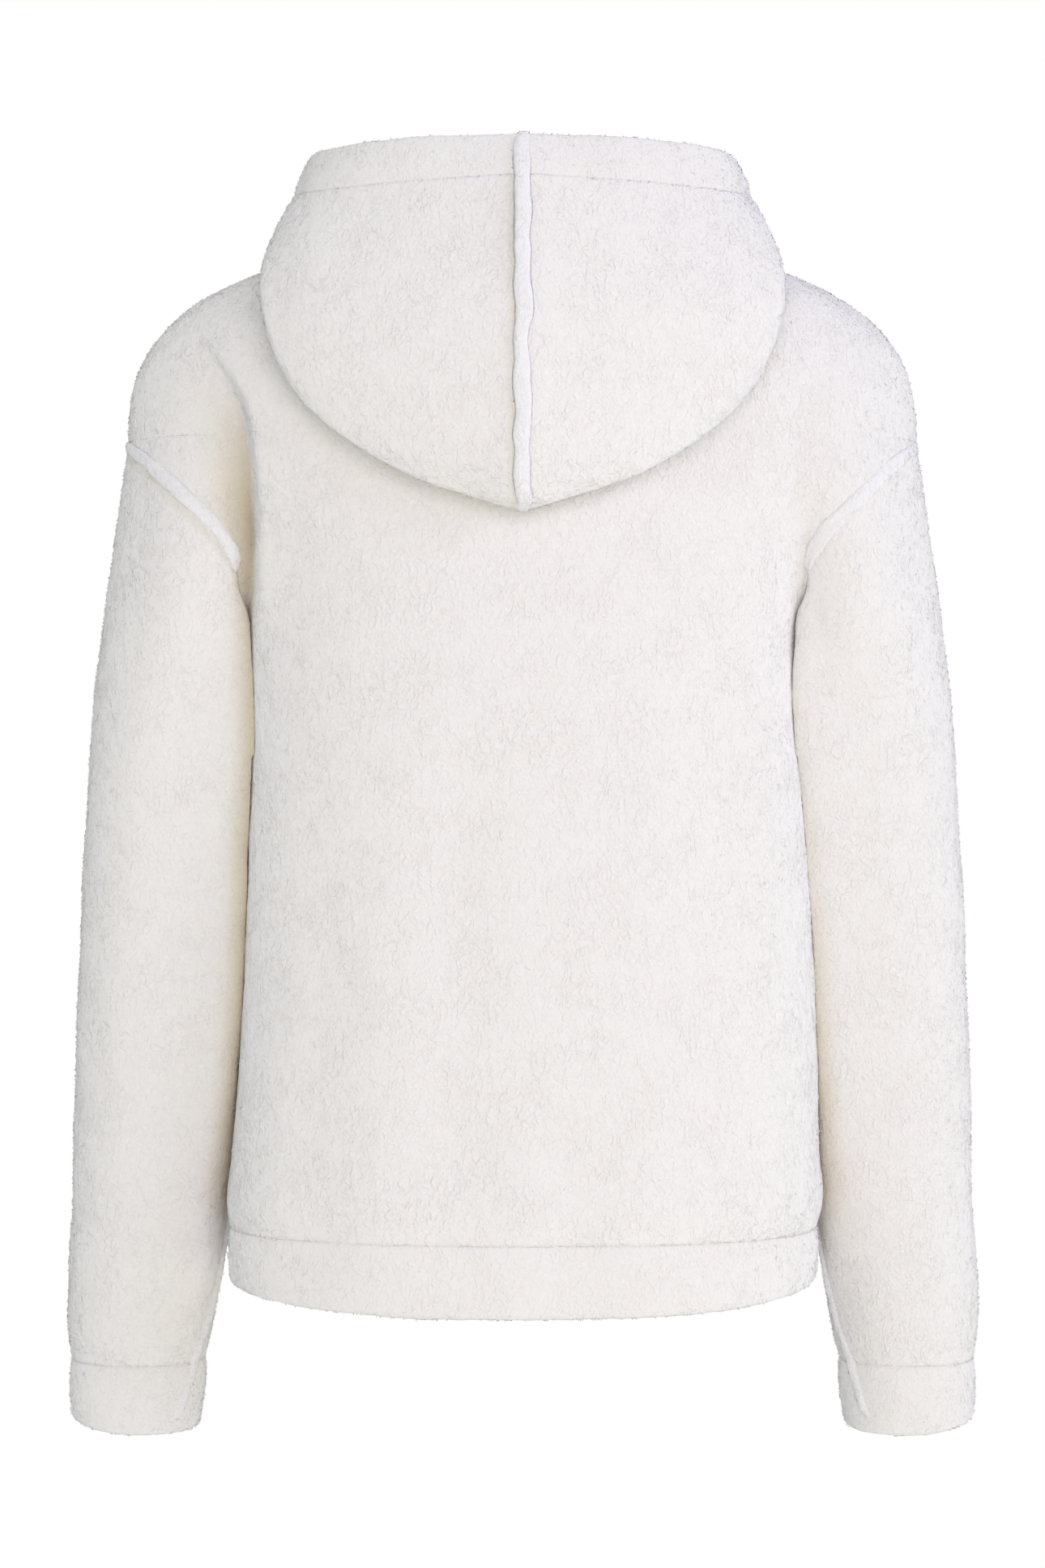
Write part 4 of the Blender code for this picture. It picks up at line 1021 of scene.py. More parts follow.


# %% Fleece
def fleece_finish(name, light, shade, lock=LOCK, cracks=1.0):
    """Curled pile: pale locks with winding cracks between them."""
    material, tree, shader = finish(name, light, 0.95, sheen=0.22)
    place = add(tree, "ShaderNodeTexCoord").outputs["Object"]

    def noise(vector, scale, detail):
        facts = {"Vector": vector, "Scale": scale / lock, "Detail": detail}
        return add(tree, "ShaderNodeTexNoise", inputs=facts).outputs

    bend = vector_maths(tree, "SUBTRACT", noise(place, BEND_SCALE, 2.0)["Color"], (0.5, 0.5, 0.5))
    bend = add(tree, "ShaderNodeVectorMath", {"operation": "SCALE"}, {0: bend, "Scale": BEND_MOST * lock})
    bent = vector_maths(tree, "ADD", place, bend.outputs[0])
    hanging = add(tree, "ShaderNodeMapping", inputs={"Vector": bent, "Scale": HANGING}).outputs[0]
    worm = maths(tree, "SUBTRACT", noise(hanging, WORM_SCALE, 1.0)["Fac"], 0.5)
    worm = maths(tree, "ABSOLUTE", worm)
    cells = {"feature": "DISTANCE_TO_EDGE"}
    cell = add(tree, "ShaderNodeTexVoronoi", cells, {"Vector": bent, "Scale": 1 / lock}).outputs["Distance"]
    curl = noise(place, CURL_SCALE, 3.0)["Fac"]
    strength = steps_between(tree, noise(place, PATCH_SCALE, 1.0)["Fac"], 0.36, 0.64, 0.65, 1.0)

    worm_height = maths(tree, "MULTIPLY", steps_between(tree, worm, 0.0, WORM_ROUND), WORM_SHARE)
    cell_height = maths(tree, "MULTIPLY", steps_between(tree, cell, 0.0, CELL_ROUND), CELL_SHARE)
    height = maths(tree, "MULTIPLY", maths(tree, "ADD", worm_height, cell_height), strength)
    height = maths(tree, "ADD", height, maths(tree, "MULTIPLY", curl, CURL_SHARE))
    bump_inputs = {"Height": height, "Strength": 0.9, "Distance": CRACK_DEPTH * cracks}
    bump = add(tree, "ShaderNodeBump", inputs=bump_inputs)
    tree.links.new(bump.outputs[0], shader.inputs["Normal"])

    # Painted shade: the colour turns darker and warmer in the cracks between locks.
    deep = steps_between(tree, worm, WORM_DARK, 0.0)
    deep_cell = steps_between(tree, cell, CELL_DARK, 0.0, 0.0, 0.6)
    crack = maths(tree, "MULTIPLY", strength, CRACK_SHADE * cracks)
    crack = maths(tree, "MULTIPLY", maths(tree, "MAXIMUM", deep, deep_cell), crack)
    # Painted shade: where the pile is low, in the valleys along seams, the colour turns darker and warmer.
    low = add(tree, "ShaderNodeAttribute", {"attribute_name": "pile"}).outputs["Fac"]
    low = steps_between(tree, low, PRESSED_PILE, 0.0, 0.0, PRESSED_PILE_SHADE)
    colour = blended(tree, maths(tree, "MAXIMUM", crack, low), light, shade)
    # Painted warm shade in the creases, beside the sleeves and along raised seams, read from the fold
    # attribute.
    fold = add(tree, "ShaderNodeAttribute", {"attribute_name": "fold"}).outputs["Fac"]
    tree.links.new(blended(tree, fold, colour, PAINTED_FOLD_SHADE), shader.inputs["Base Color"])
    return material


fleece = fleece_finish("sherpa_fleece", FLEECE_LIGHT, FLEECE_SHADE)
hem_fleece = fleece_finish("sherpa_fleece_turned", TURNED_LIGHT, FLEECE_SHADE, cracks=SHALLOW)
brushed = (BRUSHED_LIGHT, BRUSHED_SHADE, BRUSHED_LOCK, SHALLOW)
seam_fleece = fleece_finish("sherpa_fleece_brushed", *brushed)
print("fleece:", fleece.name, hem_fleece.name, seam_fleece.name)

# %% Tips of the pile
TIPS_LIGHT = (0.950, 0.935, 0.908)
TIP_OWN = 0.2  # share of a tip's own direction in how it takes the light


def tips_finish():
    """Single tips of the pile, which take the light as the cloth below them does."""
    material, tree, shader = finish("sherpa_tips", TIPS_LIGHT, 0.9, sheen=0.2)
    skin = add(tree, "ShaderNodeAttribute", {"attribute_name": "skin"}).outputs["Vector"]
    own = add(tree, "ShaderNodeNewGeometry").outputs["Normal"]
    own = add(tree, "ShaderNodeVectorMath", {"operation": "SCALE"}, {0: own, "Scale": TIP_OWN}).outputs[0]
    both = vector_maths(tree, "NORMALIZE", vector_maths(tree, "ADD", skin, own))
    tree.links.new(both, shader.inputs["Normal"])
    return material


tips = tips_finish()
print("tips:", tips.name)

# %% [markdown]
# ### The inside and the thread
#
# Inside, the backing is plain jersey: columns of small V-shaped stitches. Their pattern follows the
# UV map, which is in metres. The thread is matt polyester.

# %% Jersey backing and thread
STITCH_WIDE, STITCH_TALL, STITCH_DEEP = 0.0017, 0.0013, 0.0005
BACKING_LIGHT, BACKING_SHADE = (0.83, 0.805, 0.765), (0.66, 0.63, 0.58)
THREAD_LIGHT, THREAD_SHADE = (0.86, 0.84, 0.80), (0.74, 0.71, 0.66)
THREAD_TWISTS = 900.0  # to a metre


def backing_finish():
    material, tree, shader = finish("jersey_backing", BACKING_LIGHT, 0.9, sheen=0.1)
    spot = add(tree, "ShaderNodeUVMap", {"uv_map": "cloth"}).outputs[0]
    split = add(tree, "ShaderNodeSeparateXYZ", inputs={0: spot})
    across = maths(tree, "FRACT", maths(tree, "MULTIPLY", split.outputs["X"], 1 / STITCH_WIDE))
    side = maths(tree, "ABSOLUTE", maths(tree, "SUBTRACT", across, 0.5))
    up = maths(tree, "MULTIPLY", split.outputs["Y"], 1 / STITCH_TALL)
    up = maths(tree, "FRACT", maths(tree, "ADD", up, side))
    leg = steps_between(tree, side, 0.5, 0.28)
    groove = steps_between(tree, side, 0.0, 0.14)
    row = steps_between(tree, maths(tree, "ABSOLUTE", maths(tree, "SUBTRACT", up, 0.5)), 0.5, 0.3)
    height = maths(tree, "MULTIPLY", maths(tree, "MULTIPLY", leg, groove), row)
    bump = add(tree, "ShaderNodeBump", inputs={"Height": height, "Strength": 0.7, "Distance": STITCH_DEEP})
    tree.links.new(bump.outputs[0], shader.inputs["Normal"])
    colour = blended(tree, height, BACKING_SHADE, BACKING_LIGHT)
    tree.links.new(colour, shader.inputs["Base Color"])
    return material


def thread_finish():
    material, tree, shader = finish("sewing_thread", THREAD_LIGHT, 0.6)
    place = add(tree, "ShaderNodeTexCoord").outputs["Object"]
    twists = {"Vector": place, "Scale": THREAD_TWISTS, "Detail": 1.0}
    twist = add(tree, "ShaderNodeTexNoise", inputs=twists)
    colour = blended(tree, twist.outputs["Fac"], THREAD_SHADE, THREAD_LIGHT)
    tree.links.new(colour, shader.inputs["Base Color"])
    return material


backing = backing_finish()
thread = thread_finish()
CLOTH = (fleece, backing)
print("inside and thread:", backing.name, thread.name)

# %% [markdown]
# ## The cut pieces
#
# Now the grids become cloth. Panels are sewn at the neck, the side, the armhole and the hem, so all
# four edges sink. A sleeve sinks at the armhole and the cuff, and a hood half all round. Deep in the
# crease beside the arm, where a sleeve lies against the body and beside some raised seams, shade is
# painted into the colour as a warm brown, strongest on the garment's left. That share is kept as a
# second attribute, which also thickens the cloth inside there.

# %% Cut sizes
flat_sizes = {}


def flat_size(name, grid, wrap=False):
    """The width, the length and the area that a piece was cut to, measured on its grid."""
    if wrap:
        grid = np.concatenate([grid, grid[:, :1]], axis=1)
    first = np.cross(grid[1:, 1:] - grid[:-1, :-1], grid[1:, :-1] - grid[:-1, 1:])
    area = float(np.linalg.norm(first, axis=2).sum() / 2)
    width, length = float(along(grid, 1)[:, -1].max()), float(along(grid, 0)[-1].max())
    flat_sizes[name] = (width, length, min(area, width * length))


# %% Sizes of the painted warm shade in the folds
FOLD_DEPTH, FOLD_DEPTH_POWER = 0.0160, 1.5  # a crease this deep gets the full painted shade of a fold
FOLD_EDGE, FOLD_REACH = (-0.0035, 0.0005), 0.0155  # on the body's side and on the arm's side
FOLD_MOST = 0.90
FOLD_GAP, FOLD_GAP_POWER = (0.0005, 0.0190), 1.4  # between sleeve and body, from shut to open
FOLD_START, CREASE_FOLD_START = (0.150, 0.200), (0.070, 0.155)
SIDE_FOLD_START = (-0.02, 0.01)  # below the underarm
SIDE_FOLD_WIDTH = (0.012, 0.030)  # how far from the side seam the body still touches the sleeve
# The garment's left lies in shade, so its folds get far more painted shade than the right's.
FOLD_SHARE_COLUMNS = ("z", "left", "right")
FOLD_SHARES = (
    (-0.200, 0.90, 0.12),
    (-0.300, 0.90, 0.20),
    (-0.380, 0.90, 0.30),
    (-0.450, 0.85, 0.45),
    (-0.540, 0.80, 0.50),
    (-0.620, 0.30, 0.20),
    (-0.700, 0.00, 0.00),
)
PAINTED_SEAM_SHADE = {"left": 0.35, "right": 0.05}  # a warm line of painted shade runs beside a raised seam, strongest on the shaded left
SLEEVE_SHADE_LINE, HOOD_RIDGE_SHADE_LINE = (0.0078, 0.0026), (0.0050, 0.0020)  # how far from the seam, how wide
BODY_EDGES = {"top": 1.0, "bottom": 0.6, "first": 0.9, "last": 0.9}  # how far the seam sinks
HOOD_EDGES = {"top": 1.0, "bottom": 0.4, "first": 0.8, "last": 0.8}
SLEEVE_EDGES = {"top": 0.9, "bottom": 0.6}


# %% Painted warm shade in the folds
def body_fold_painted_shade(face, grid):
    x, z = np.abs(grid[..., 0]), grid[..., 2]
    names = ("front", "front") if face == "front" else ("left", "right")
    left, right = (column(CREASE_PATH, CREASE_COLUMNS, name, z) for name in names)
    deep = np.clip(np.where(grid[..., 0] > 0, left, right) / FOLD_DEPTH, 0, 1) ** FOLD_DEPTH_POWER
    away = x - column(CREASE_PATH, CREASE_COLUMNS, "x", z)
    near = ramp(away, *FOLD_EDGE) * np.exp(-((np.maximum(away, 0) / FOLD_REACH) ** 2))
    crease_fold = FOLD_MOST * near * deep * ramp(-z, *CREASE_FOLD_START)
    left, right = (column(FOLD_SHARES, FOLD_SHARE_COLUMNS, name, z) for name in ("left", "right"))
    touching = 1 - ramp(np.abs(grid[..., 1]), *SIDE_FOLD_WIDTH)
    touching = touching * ramp(UNDERARM_Z - z, *SIDE_FOLD_START)
    return np.maximum(crease_fold, touching * np.where(grid[..., 0] > 0, left, right))


def sleeve_fold_painted_shade(name, grid):
    x, y, z = np.abs(grid[..., 0]), grid[..., 1], grid[..., 2]
    near = (1 - ramp(x - body_side(name, y, z), *FOLD_GAP)) ** FOLD_GAP_POWER
    share = near * ramp(-z, *FOLD_START) * column(FOLD_SHARES, FOLD_SHARE_COLUMNS, name, z)
    return np.maximum(share, seam_line(name, along(grid, 0), SLEEVE_SHADE_LINE))


# A warm line of painted shade beside a raised seam, at the distance and width given by place.
def seam_line(name, away, place):
    return PAINTED_SEAM_SHADE[name] * np.exp(-(((away - place[0]) / place[1]) ** 2))


# %% Body panels
for face in ("back", "front"):
    grid, out = body_panel(face)
    flat_size(face + "_panel", grid)
    shell(face + "_panel", grid, out, BODY_EDGES, CLOTH, body_fold_painted_shade(face, grid))


# %% Sleeves
def sleeve_shell(name):
    side = SIDES[name]
    grid = sleeve_grid(name) * [side, 1, 1]
    around = np.roll(grid, -1, axis=1) - np.roll(grid, 1, axis=1)
    out = unit(np.cross(around, np.gradient(grid, axis=0))) * -side
    start = (1 - ramp(np.linalg.norm(grid - grid[:1], axis=2), 0, EDGE_TURN))[..., None]
    out = unit(out * (1 - start) + all_round(armhole_directions(side)) * start)
    out[-1] = square_to(out[-1], np.array([0.0, 0.0, 1.0]))
    seam = grid[0].copy()
    grid[0] += unit(grid[1] - grid[0]) * SEAM_GAP / 2
    flat_size("sleeve_" + name, grid, wrap=True)
    shell("sleeve_" + name, grid, out, SLEEVE_EDGES, CLOTH, sleeve_fold_painted_shade(name, grid), wrap=True)
    return seam, grid, out


sleeves = {name: sleeve_shell(name) for name in SIDES}
print("armhole seams:", [round(1000 * lengths(seam)[-1]) for seam, _, _ in sleeves.values()], "mm")

# %% Hood halves
hoods = {}
for name, side in SIDES.items():
    grid, out = hood_grid(side)
    hoods[name] = grid, out
    flat_size("hood_" + name, grid)
    # Beside the hood's centre ridge runs a warm line of painted shade, strong on the shaded left half.
    line = seam_line(name, along(grid, 1), HOOD_RIDGE_SHADE_LINE)
    shell("hood_" + name, grid, out, HOOD_EDGES, CLOTH, line)

# %% [markdown]
# ## Turned hems
#
# Hem, cuffs and rim are the same fleece folded double and stitched down. A hem's outline is carried
# along the seam: down the outside, round the fold, and up the inside. It is thin in the stitches and
# swells to its full thickness below them.

# %% Turned hems
HEM_SWELLS = 0.4  # where a hem is thickest, as a share of its height
BAND_DOWN, BAND_UP = 16, 8
FOLD_TURNS = np.linspace(0, math.pi, 9)
BAND_PUFF = 0.0008


def turned_band(name, top, bottom, seam_out, held, wrap=False):
    height = np.linalg.norm(bottom - top, axis=1, keepdims=True)
    down = unit(bottom - top)
    out = square_to(seam_out, down)
    radius = TURNED / 2
    outline, pile = [], []
    for share in np.linspace(0, 1, BAND_DOWN, endpoint=False):
        raised = 1 - held * np.exp(-share * float(height.mean()) / VALLEY)
        puff = PILE_PROUD - PILE_HEIGHT * (1 - raised) + BAND_PUFF * math.sin(math.pi * share)
        outline.append(top + (bottom - down * radius - top) * share + out * puff)
        pile.append(raised)
    for turned in FOLD_TURNS:
        arm = out * (math.cos(turned) - 1) + down * (math.sin(turned) - 1)
        lift = out * math.cos(turned) + down * math.sin(turned)
        outline.append(bottom + arm * radius + lift * PILE_PROUD)
        pile.append(1.0)
    swell = top + (bottom - top) * HEM_SWELLS - out * (TURNED + PILE_PROUD)
    inner_low, inner_top = outline[-1], top - seam_out * FLEECE
    for share in np.linspace(0, 1, BAND_UP + 1)[1:]:
        low, high = (1 - share) ** 2, share**2
        outline.append(inner_low * low + swell * (1 - low - high) + inner_top * high)
        pile.append(1 - share**4)
    grid = np.stack([top, bottom])
    flat_size(name, np.concatenate([grid, grid[:, :1]], axis=1) if wrap else grid)
    return swept(name, np.stack(outline, axis=1), np.array(pile), (hem_fleece,), wrap)


# %% Rings for the hem
def ring_round(z):
    """A level ring of the body: left back, left front, right front, right back."""
    shares = np.linspace(0, 1, BAND_STEPS + 1)
    quarters = []
    for face, side, turn in (("back", 1, 1), ("front", 1, -1), ("front", -1, 1), ("back", -1, -1)):
        points = placed(at_shares(trunk_ring(face, side, z), shares), face, side)
        quarters.append(points[::turn][:-1])
    return np.concatenate(quarters)


def outward(ring):
    """Level directions out of a closed ring."""
    around = np.roll(ring, -1, axis=0) - np.roll(ring, 1, axis=0)
    out = unit(np.cross(around, [0.0, 0.0, 1.0]))
    return out if ((out * (ring - ring.mean(axis=0))).sum(axis=1).mean()) > 0 else -out


# %% The body's hem
hem_top, hem_bottom = ring_round(HEM_SEAM_Z - SEAM_GAP), ring_round(HEM_Z)
aside = np.abs(hem_bottom[:, 0]) / np.abs(hem_bottom[:, 0]).max()
hem_bottom[:, 2] += HEM_RISE * aside**HEM_RISE_POWER
turned_band("hem_band", hem_top, hem_bottom, outward(hem_top), SLEEVE_EDGES["bottom"], wrap=True)
seam_lines = {"hem": (hem_top, outward(hem_top), True)}

# %% Cuffs and the hood's hem
for name, side in SIDES.items():
    turns = np.arange(2 * ARMHOLE_STEPS) / (2 * ARMHOLE_STEPS)
    top = sleeve_ring(name, CUFF_SEAM_Z - SEAM_GAP, turns) * [side, 1, 1]
    bottom = sleeve_ring(name, CUFF_Z, turns) * [side, 1, 1]
    across = np.abs(bottom[:, 0])
    bottom[:, 2] += CUFF_RISE * ((across - across.min()) / np.ptp(across)) ** CUFF_RISE_POWER
    turned_band("cuff_" + name, top, bottom, outward(top), SLEEVE_EDGES["bottom"], wrap=True)
    seam_lines["cuff_" + name] = (top, outward(top), True)
    grid, out = hoods[name]
    rim = hood_line("rim", side)
    rim[[0, -1], 0] = side * SEAM_GAP / 2
    start = grid[-1] + unit(rim - grid[-1]) * SEAM_GAP
    turned_band("hood_hem_" + name, start, rim, out[-1], HOOD_EDGES["bottom"])
    seam_lines["hood_" + name] = (start, out[-1], False)
print("stitched lines:", list(seam_lines))

# %% [markdown]
# ## Raised seams
#
# Where two thick pieces are joined right sides together and the allowances are brushed out, a furry
# ridge stands on the seam. It is a little uneven in width and height and never runs quite straight.

# %% Sizes of the raised seams
SLEEVE_RIDGE_WIDTH, SLEEVE_RIDGE_HEIGHT = 0.0085, 0.0024
ARMHOLE_RIDGE_WIDTH, ARMHOLE_RIDGE_HEIGHTS = 0.0135, {"left": 0.0032, "right": 0.0018}
ARMHOLE_RIDGE_REACH = 0.67  # share of the way from the top of the arm to the underarm
RIDGE_FLAT, RIDGE_FLAT_WIDTH = 0.75, 0.022  # over the arm it is pressed flat by this share
RIDGE_POINTS, RIDGE_SINK, RIDGE_SQUARE = 11, 0.0012, 3
RIDGE_FADE, RIDGE_END = (-0.003, 0.010), 0.7  # near its ends it gets lower, and as narrow as this share
RIDGE_UNEVEN_TALL, RIDGE_UNEVEN_WIDE = 0.14, 0.12
RIDGE_STRAY, RIDGE_STRAY_EVERY, RIDGE_UNEVEN_EVERY = 0.0006, 0.011, 0.007
HOOD_RIDGE_HALF, HOOD_RIDGE_HEIGHT, HOOD_RIDGE_DROP = 0.0048, 0.0028, 0.0002
HOOD_RIDGE_WAVER, HOOD_RIDGE_WAVES, HOOD_RIDGE_BEAT = 0.0008, 6, 0.37
HOOD_RIDGE_STEPS, SLEEVE_SEAM_STEPS = 131, 81
SEAM_TURN_COLUMNS, SEAM_TURN_BESIDE = ("z", "turn"), 0.02
SLEEVE_SEAM_TURN = ((-0.520, 0.492), (-0.560, 0.490), (-0.615, 0.465), (-0.658, 0.415), (-0.692, 0.370))


# %% Uneven ridges
uneven = np.random.default_rng(8)


def wander(line, every=RIDGE_UNEVEN_EVERY):
    """A soft random number, from -1 to 1, at each point of a line."""
    far = lengths(line)
    keys = np.linspace(0, far[-1], max(4, round(far[-1] / every)))
    return smooth(uneven.uniform(-1, 1, len(keys)), keys, far)


def ridge(name, path, one, other, out, height, flat=0.0):
    """A raised seam on its path, between two lines that lie on the cloth beside it."""
    out = square_to(out, unit(np.gradient(path, axis=0)))
    far = lengths(path)
    fade = ramp(np.minimum(far, far[-1] - far), *RIDGE_FADE)[:, None]
    tall = height * fade * (1 + RIDGE_UNEVEN_TALL * wander(path)[:, None])
    tall = tall * (1 - flat * np.exp(-(((far - far[-1] / 2) / RIDGE_FLAT_WIDTH) ** 2)))[:, None]
    wide = RIDGE_END + (1 - RIDGE_END) * fade
    wide = wide * (1 + RIDGE_UNEVEN_WIDE * wander(path)[:, None])
    stray = RIDGE_STRAY * wander(path, RIDGE_STRAY_EVERY)[:, None] * unit(other - one)
    outline = []
    for across in np.linspace(-1, 1, RIDGE_POINTS):
        edge = one if across < 0 else other
        rise = (tall + RIDGE_SINK) * math.sqrt(1 - abs(across) ** RIDGE_SQUARE) - RIDGE_SINK
        outline.append(path + (edge - path) * abs(across) * wide + out * rise + stray)
    # Low pile at the ridge's feet gets painted shade from its finish.
    pile = np.clip(1.3 - np.abs(np.linspace(-1, 1, RIDGE_POINTS)) ** RIDGE_SQUARE, 0, 1)
    return swept(name, np.stack(outline, axis=1), pile, (seam_fleece,))


# %% Ridges on armholes and sleeves
for name, side in SIDES.items():
    seam, grid, out = sleeves[name]
    panels = [halves[face, side][0][ARMHOLE_ROWS, -2] for face in ("back", "front")]
    beside = np.concatenate([panels[0], panels[1][-2:0:-1]])
    reach = round(ARMHOLE_RIDGE_REACH * ARMHOLE_STEPS)
    order = np.arange(-reach, reach + 1)
    one, other = (seam + unit(toward - seam) * ARMHOLE_RIDGE_WIDTH / 2 for toward in (beside, grid[1]))
    tall = ARMHOLE_RIDGE_HEIGHTS[name]
    ridge("armhole_seam_" + name, seam[order], one[order], other[order], out[0][order], tall, RIDGE_FLAT)

    levels = np.linspace(SLEEVE_SEAM_TURN[0][0], SLEEVE_SEAM_TURN[-1][0], SLEEVE_SEAM_STEPS)
    turns = column(SLEEVE_SEAM_TURN, SEAM_TURN_COLUMNS, "turn", levels)
    path, near, far_side = (
        np.stack([sleeve_ring(name, z, [turn + step])[0] for z, turn in zip(levels, turns)]) * [side, 1, 1]
        for step in (0, -SEAM_TURN_BESIDE, SEAM_TURN_BESIDE)
    )
    one, other = (path + unit(toward - path) * SLEEVE_RIDGE_WIDTH / 2 for toward in (near, far_side))
    out = np.cross(one - other, np.gradient(path, axis=0)) * side
    ridge("sleeve_seam_" + name, path, one, other, out, SLEEVE_RIDGE_HEIGHT)

# %% The ridge down the middle of the hood
lines = [np.array(HOOD_LINES[name][0]) for name in ("rim", "rim_seam", "belly", "over", "fold")]
keys = np.concatenate([[0.0], np.cumsum(np.linalg.norm(np.diff(lines, axis=0), axis=1) ** 0.5)])
path = smooth(np.stack(lines), keys, np.linspace(0, keys[-1], SECTION_POINTS))
path = at_shares(path, np.linspace(0, 1, HOOD_RIDGE_STEPS))
out = np.cross([1.0, 0.0, 0.0], unit(np.gradient(path, axis=0)))
phase = np.linspace(0, 2 * math.pi * HOOD_RIDGE_WAVES, len(path))
path[:, 0] += HOOD_RIDGE_WAVER * np.sin(phase) * np.sin(HOOD_RIDGE_BEAT * phase + 1)
one, other = (path + np.array([way * HOOD_RIDGE_HALF, 0, -HOOD_RIDGE_DROP]) for way in (-1, 1))
ridge("hood_centre_seam", path, one, other, out, HOOD_RIDGE_HEIGHT)

# %% [markdown]
# ## Clumps of pile
#
# Washed fleece is never even: its locks gather in clumps. One Geometry Nodes tree moves the points of
# every piece along their normals by a small noise and a slow one, as far as the pile attribute
# allows. Its sizes are inputs, so the same tree serves panels, hems and ridges.


# %% Geometry Nodes helpers
def new_tree(name, sizes, others=()):
    tree = bpy.data.node_groups.new(name, "GeometryNodeTree")
    tree.interface.new_socket("Cloth", in_out="INPUT", socket_type="NodeSocketGeometry")
    for size in sizes:
        tree.interface.new_socket(size, in_out="INPUT", socket_type="NodeSocketFloat")
    for other_name, kind in others:
        tree.interface.new_socket(other_name, in_out="INPUT", socket_type=kind)
    tree.interface.new_socket("Result", in_out="OUTPUT", socket_type="NodeSocketGeometry")
    return tree, tree.nodes.new("NodeGroupInput").outputs, tree.nodes.new("NodeGroupOutput").inputs


def named_share(tree, name):
    return add(tree, "GeometryNodeInputNamedAttribute", {"data_type": "FLOAT"}, {"Name": name}).outputs[0]


def set_on(tree, points, shape, turned, size, finish, result):
    """Sets a shape on every point, makes the copies real and gives them their finish."""
    grow = {"Points": points, "Instance": shape, "Rotation": turned, "Scale": size}
    copies = add(tree, "GeometryNodeInstanceOnPoints", inputs=grow).outputs[0]
    real = add(tree, "GeometryNodeRealizeInstances", inputs={"Geometry": copies}).outputs[0]
    coated = add(tree, "GeometryNodeSetMaterial", inputs={"Geometry": real, "Material": finish})
    tree.links.new(coated.outputs[0], result)


def grown(piece, tree, values):
    """Runs a tree on a piece and keeps the result as a plain mesh."""
    work = piece.modifiers.new(tree.name, "NODES")
    work.node_group = tree
    for item in tree.interface.items_tree:
        if item.in_out == "INPUT" and item.name in values:
            work[item.identifier] = values[item.name]
    result = piece.evaluated_get(bpy.context.evaluated_depsgraph_get())
    mesh = bpy.data.meshes.new_from_object(result)
    piece.modifiers.clear()
    piece.data = mesh
    return mesh


# %% Clump tree
def clump_tree():
    sizes = ("Clump Size", "Clump Height", "Drift Size", "Drift Height")
    tree, given, result = new_tree("pile_clumps", sizes)
    pile = named_share(tree, "pile")
    place = add(tree, "GeometryNodeInputPosition").outputs[0]
    moves = []
    for size, height in (("Clump Size", "Clump Height"), ("Drift Size", "Drift Height")):
        scale = maths(tree, "DIVIDE", 1.0, given[size])
        noise = add(tree, "ShaderNodeTexNoise", inputs={"Vector": place, "Scale": scale, "Detail": 1.0})
        level = maths(tree, "MULTIPLY", maths(tree, "SUBTRACT", noise.outputs["Fac"], 0.5), 2.0)
        moves.append(maths(tree, "MULTIPLY", level, given[height]))
    move = maths(tree, "MULTIPLY", maths(tree, "ADD", *moves), pile)
    normal = add(tree, "GeometryNodeInputNormal").outputs[0]
    offset = add(tree, "ShaderNodeVectorMath", {"operation": "SCALE"}, {0: normal, "Scale": move})
    moved = {"Geometry": given["Cloth"], "Offset": offset.outputs[0]}
    tree.links.new(add(tree, "GeometryNodeSetPosition", inputs=moved).outputs[0], result["Result"])
    return tree


# %% Clumps on every piece
CLUMPS = {"Clump Size": 0.0070, "Clump Height": 0.00045, "Drift Size": 0.036, "Drift Height": 0.0010}
RIDGE_CLUMPS = {"Clump Size": 0.0060, "Clump Height": 0.0007, "Drift Size": 0.020, "Drift Height": 0.0005}
clumps = clump_tree()
for name, piece in made_pieces.items():
    grown(piece, clumps, RIDGE_CLUMPS if "seam" in name else CLUMPS)
print("clumped:", len(made_pieces), "pieces")

# %% [markdown]
# ## Tufts
#
# A smooth edge would give the cloth away, because the tips of real pile stand out against what is
# behind them. Small spikes are scattered where the pile attribute is high. Each leans well over, in
# a direction that changes slowly, so neighbours lie together as they do in a lock. A spike is a
# closed three-sided cone of four faces, which keeps many thousands of them light. Real pile is far
# finer than these spikes, so they cast no shadow on the cloth and don't tint it. In the folds
# there are none, because pressed pile has no tips.

# %% Tuft tree
TUFT_CLEAR = 4.0  # how soon tufts give way in a fold
TUFT_STRAY, TUFT_SWIRL = 0.8, 22.0
TUFT_LEANS, TUFT_SCALES = (0.85, 1.40), (0.75, 1.25)
TUFT_SIDES = 3


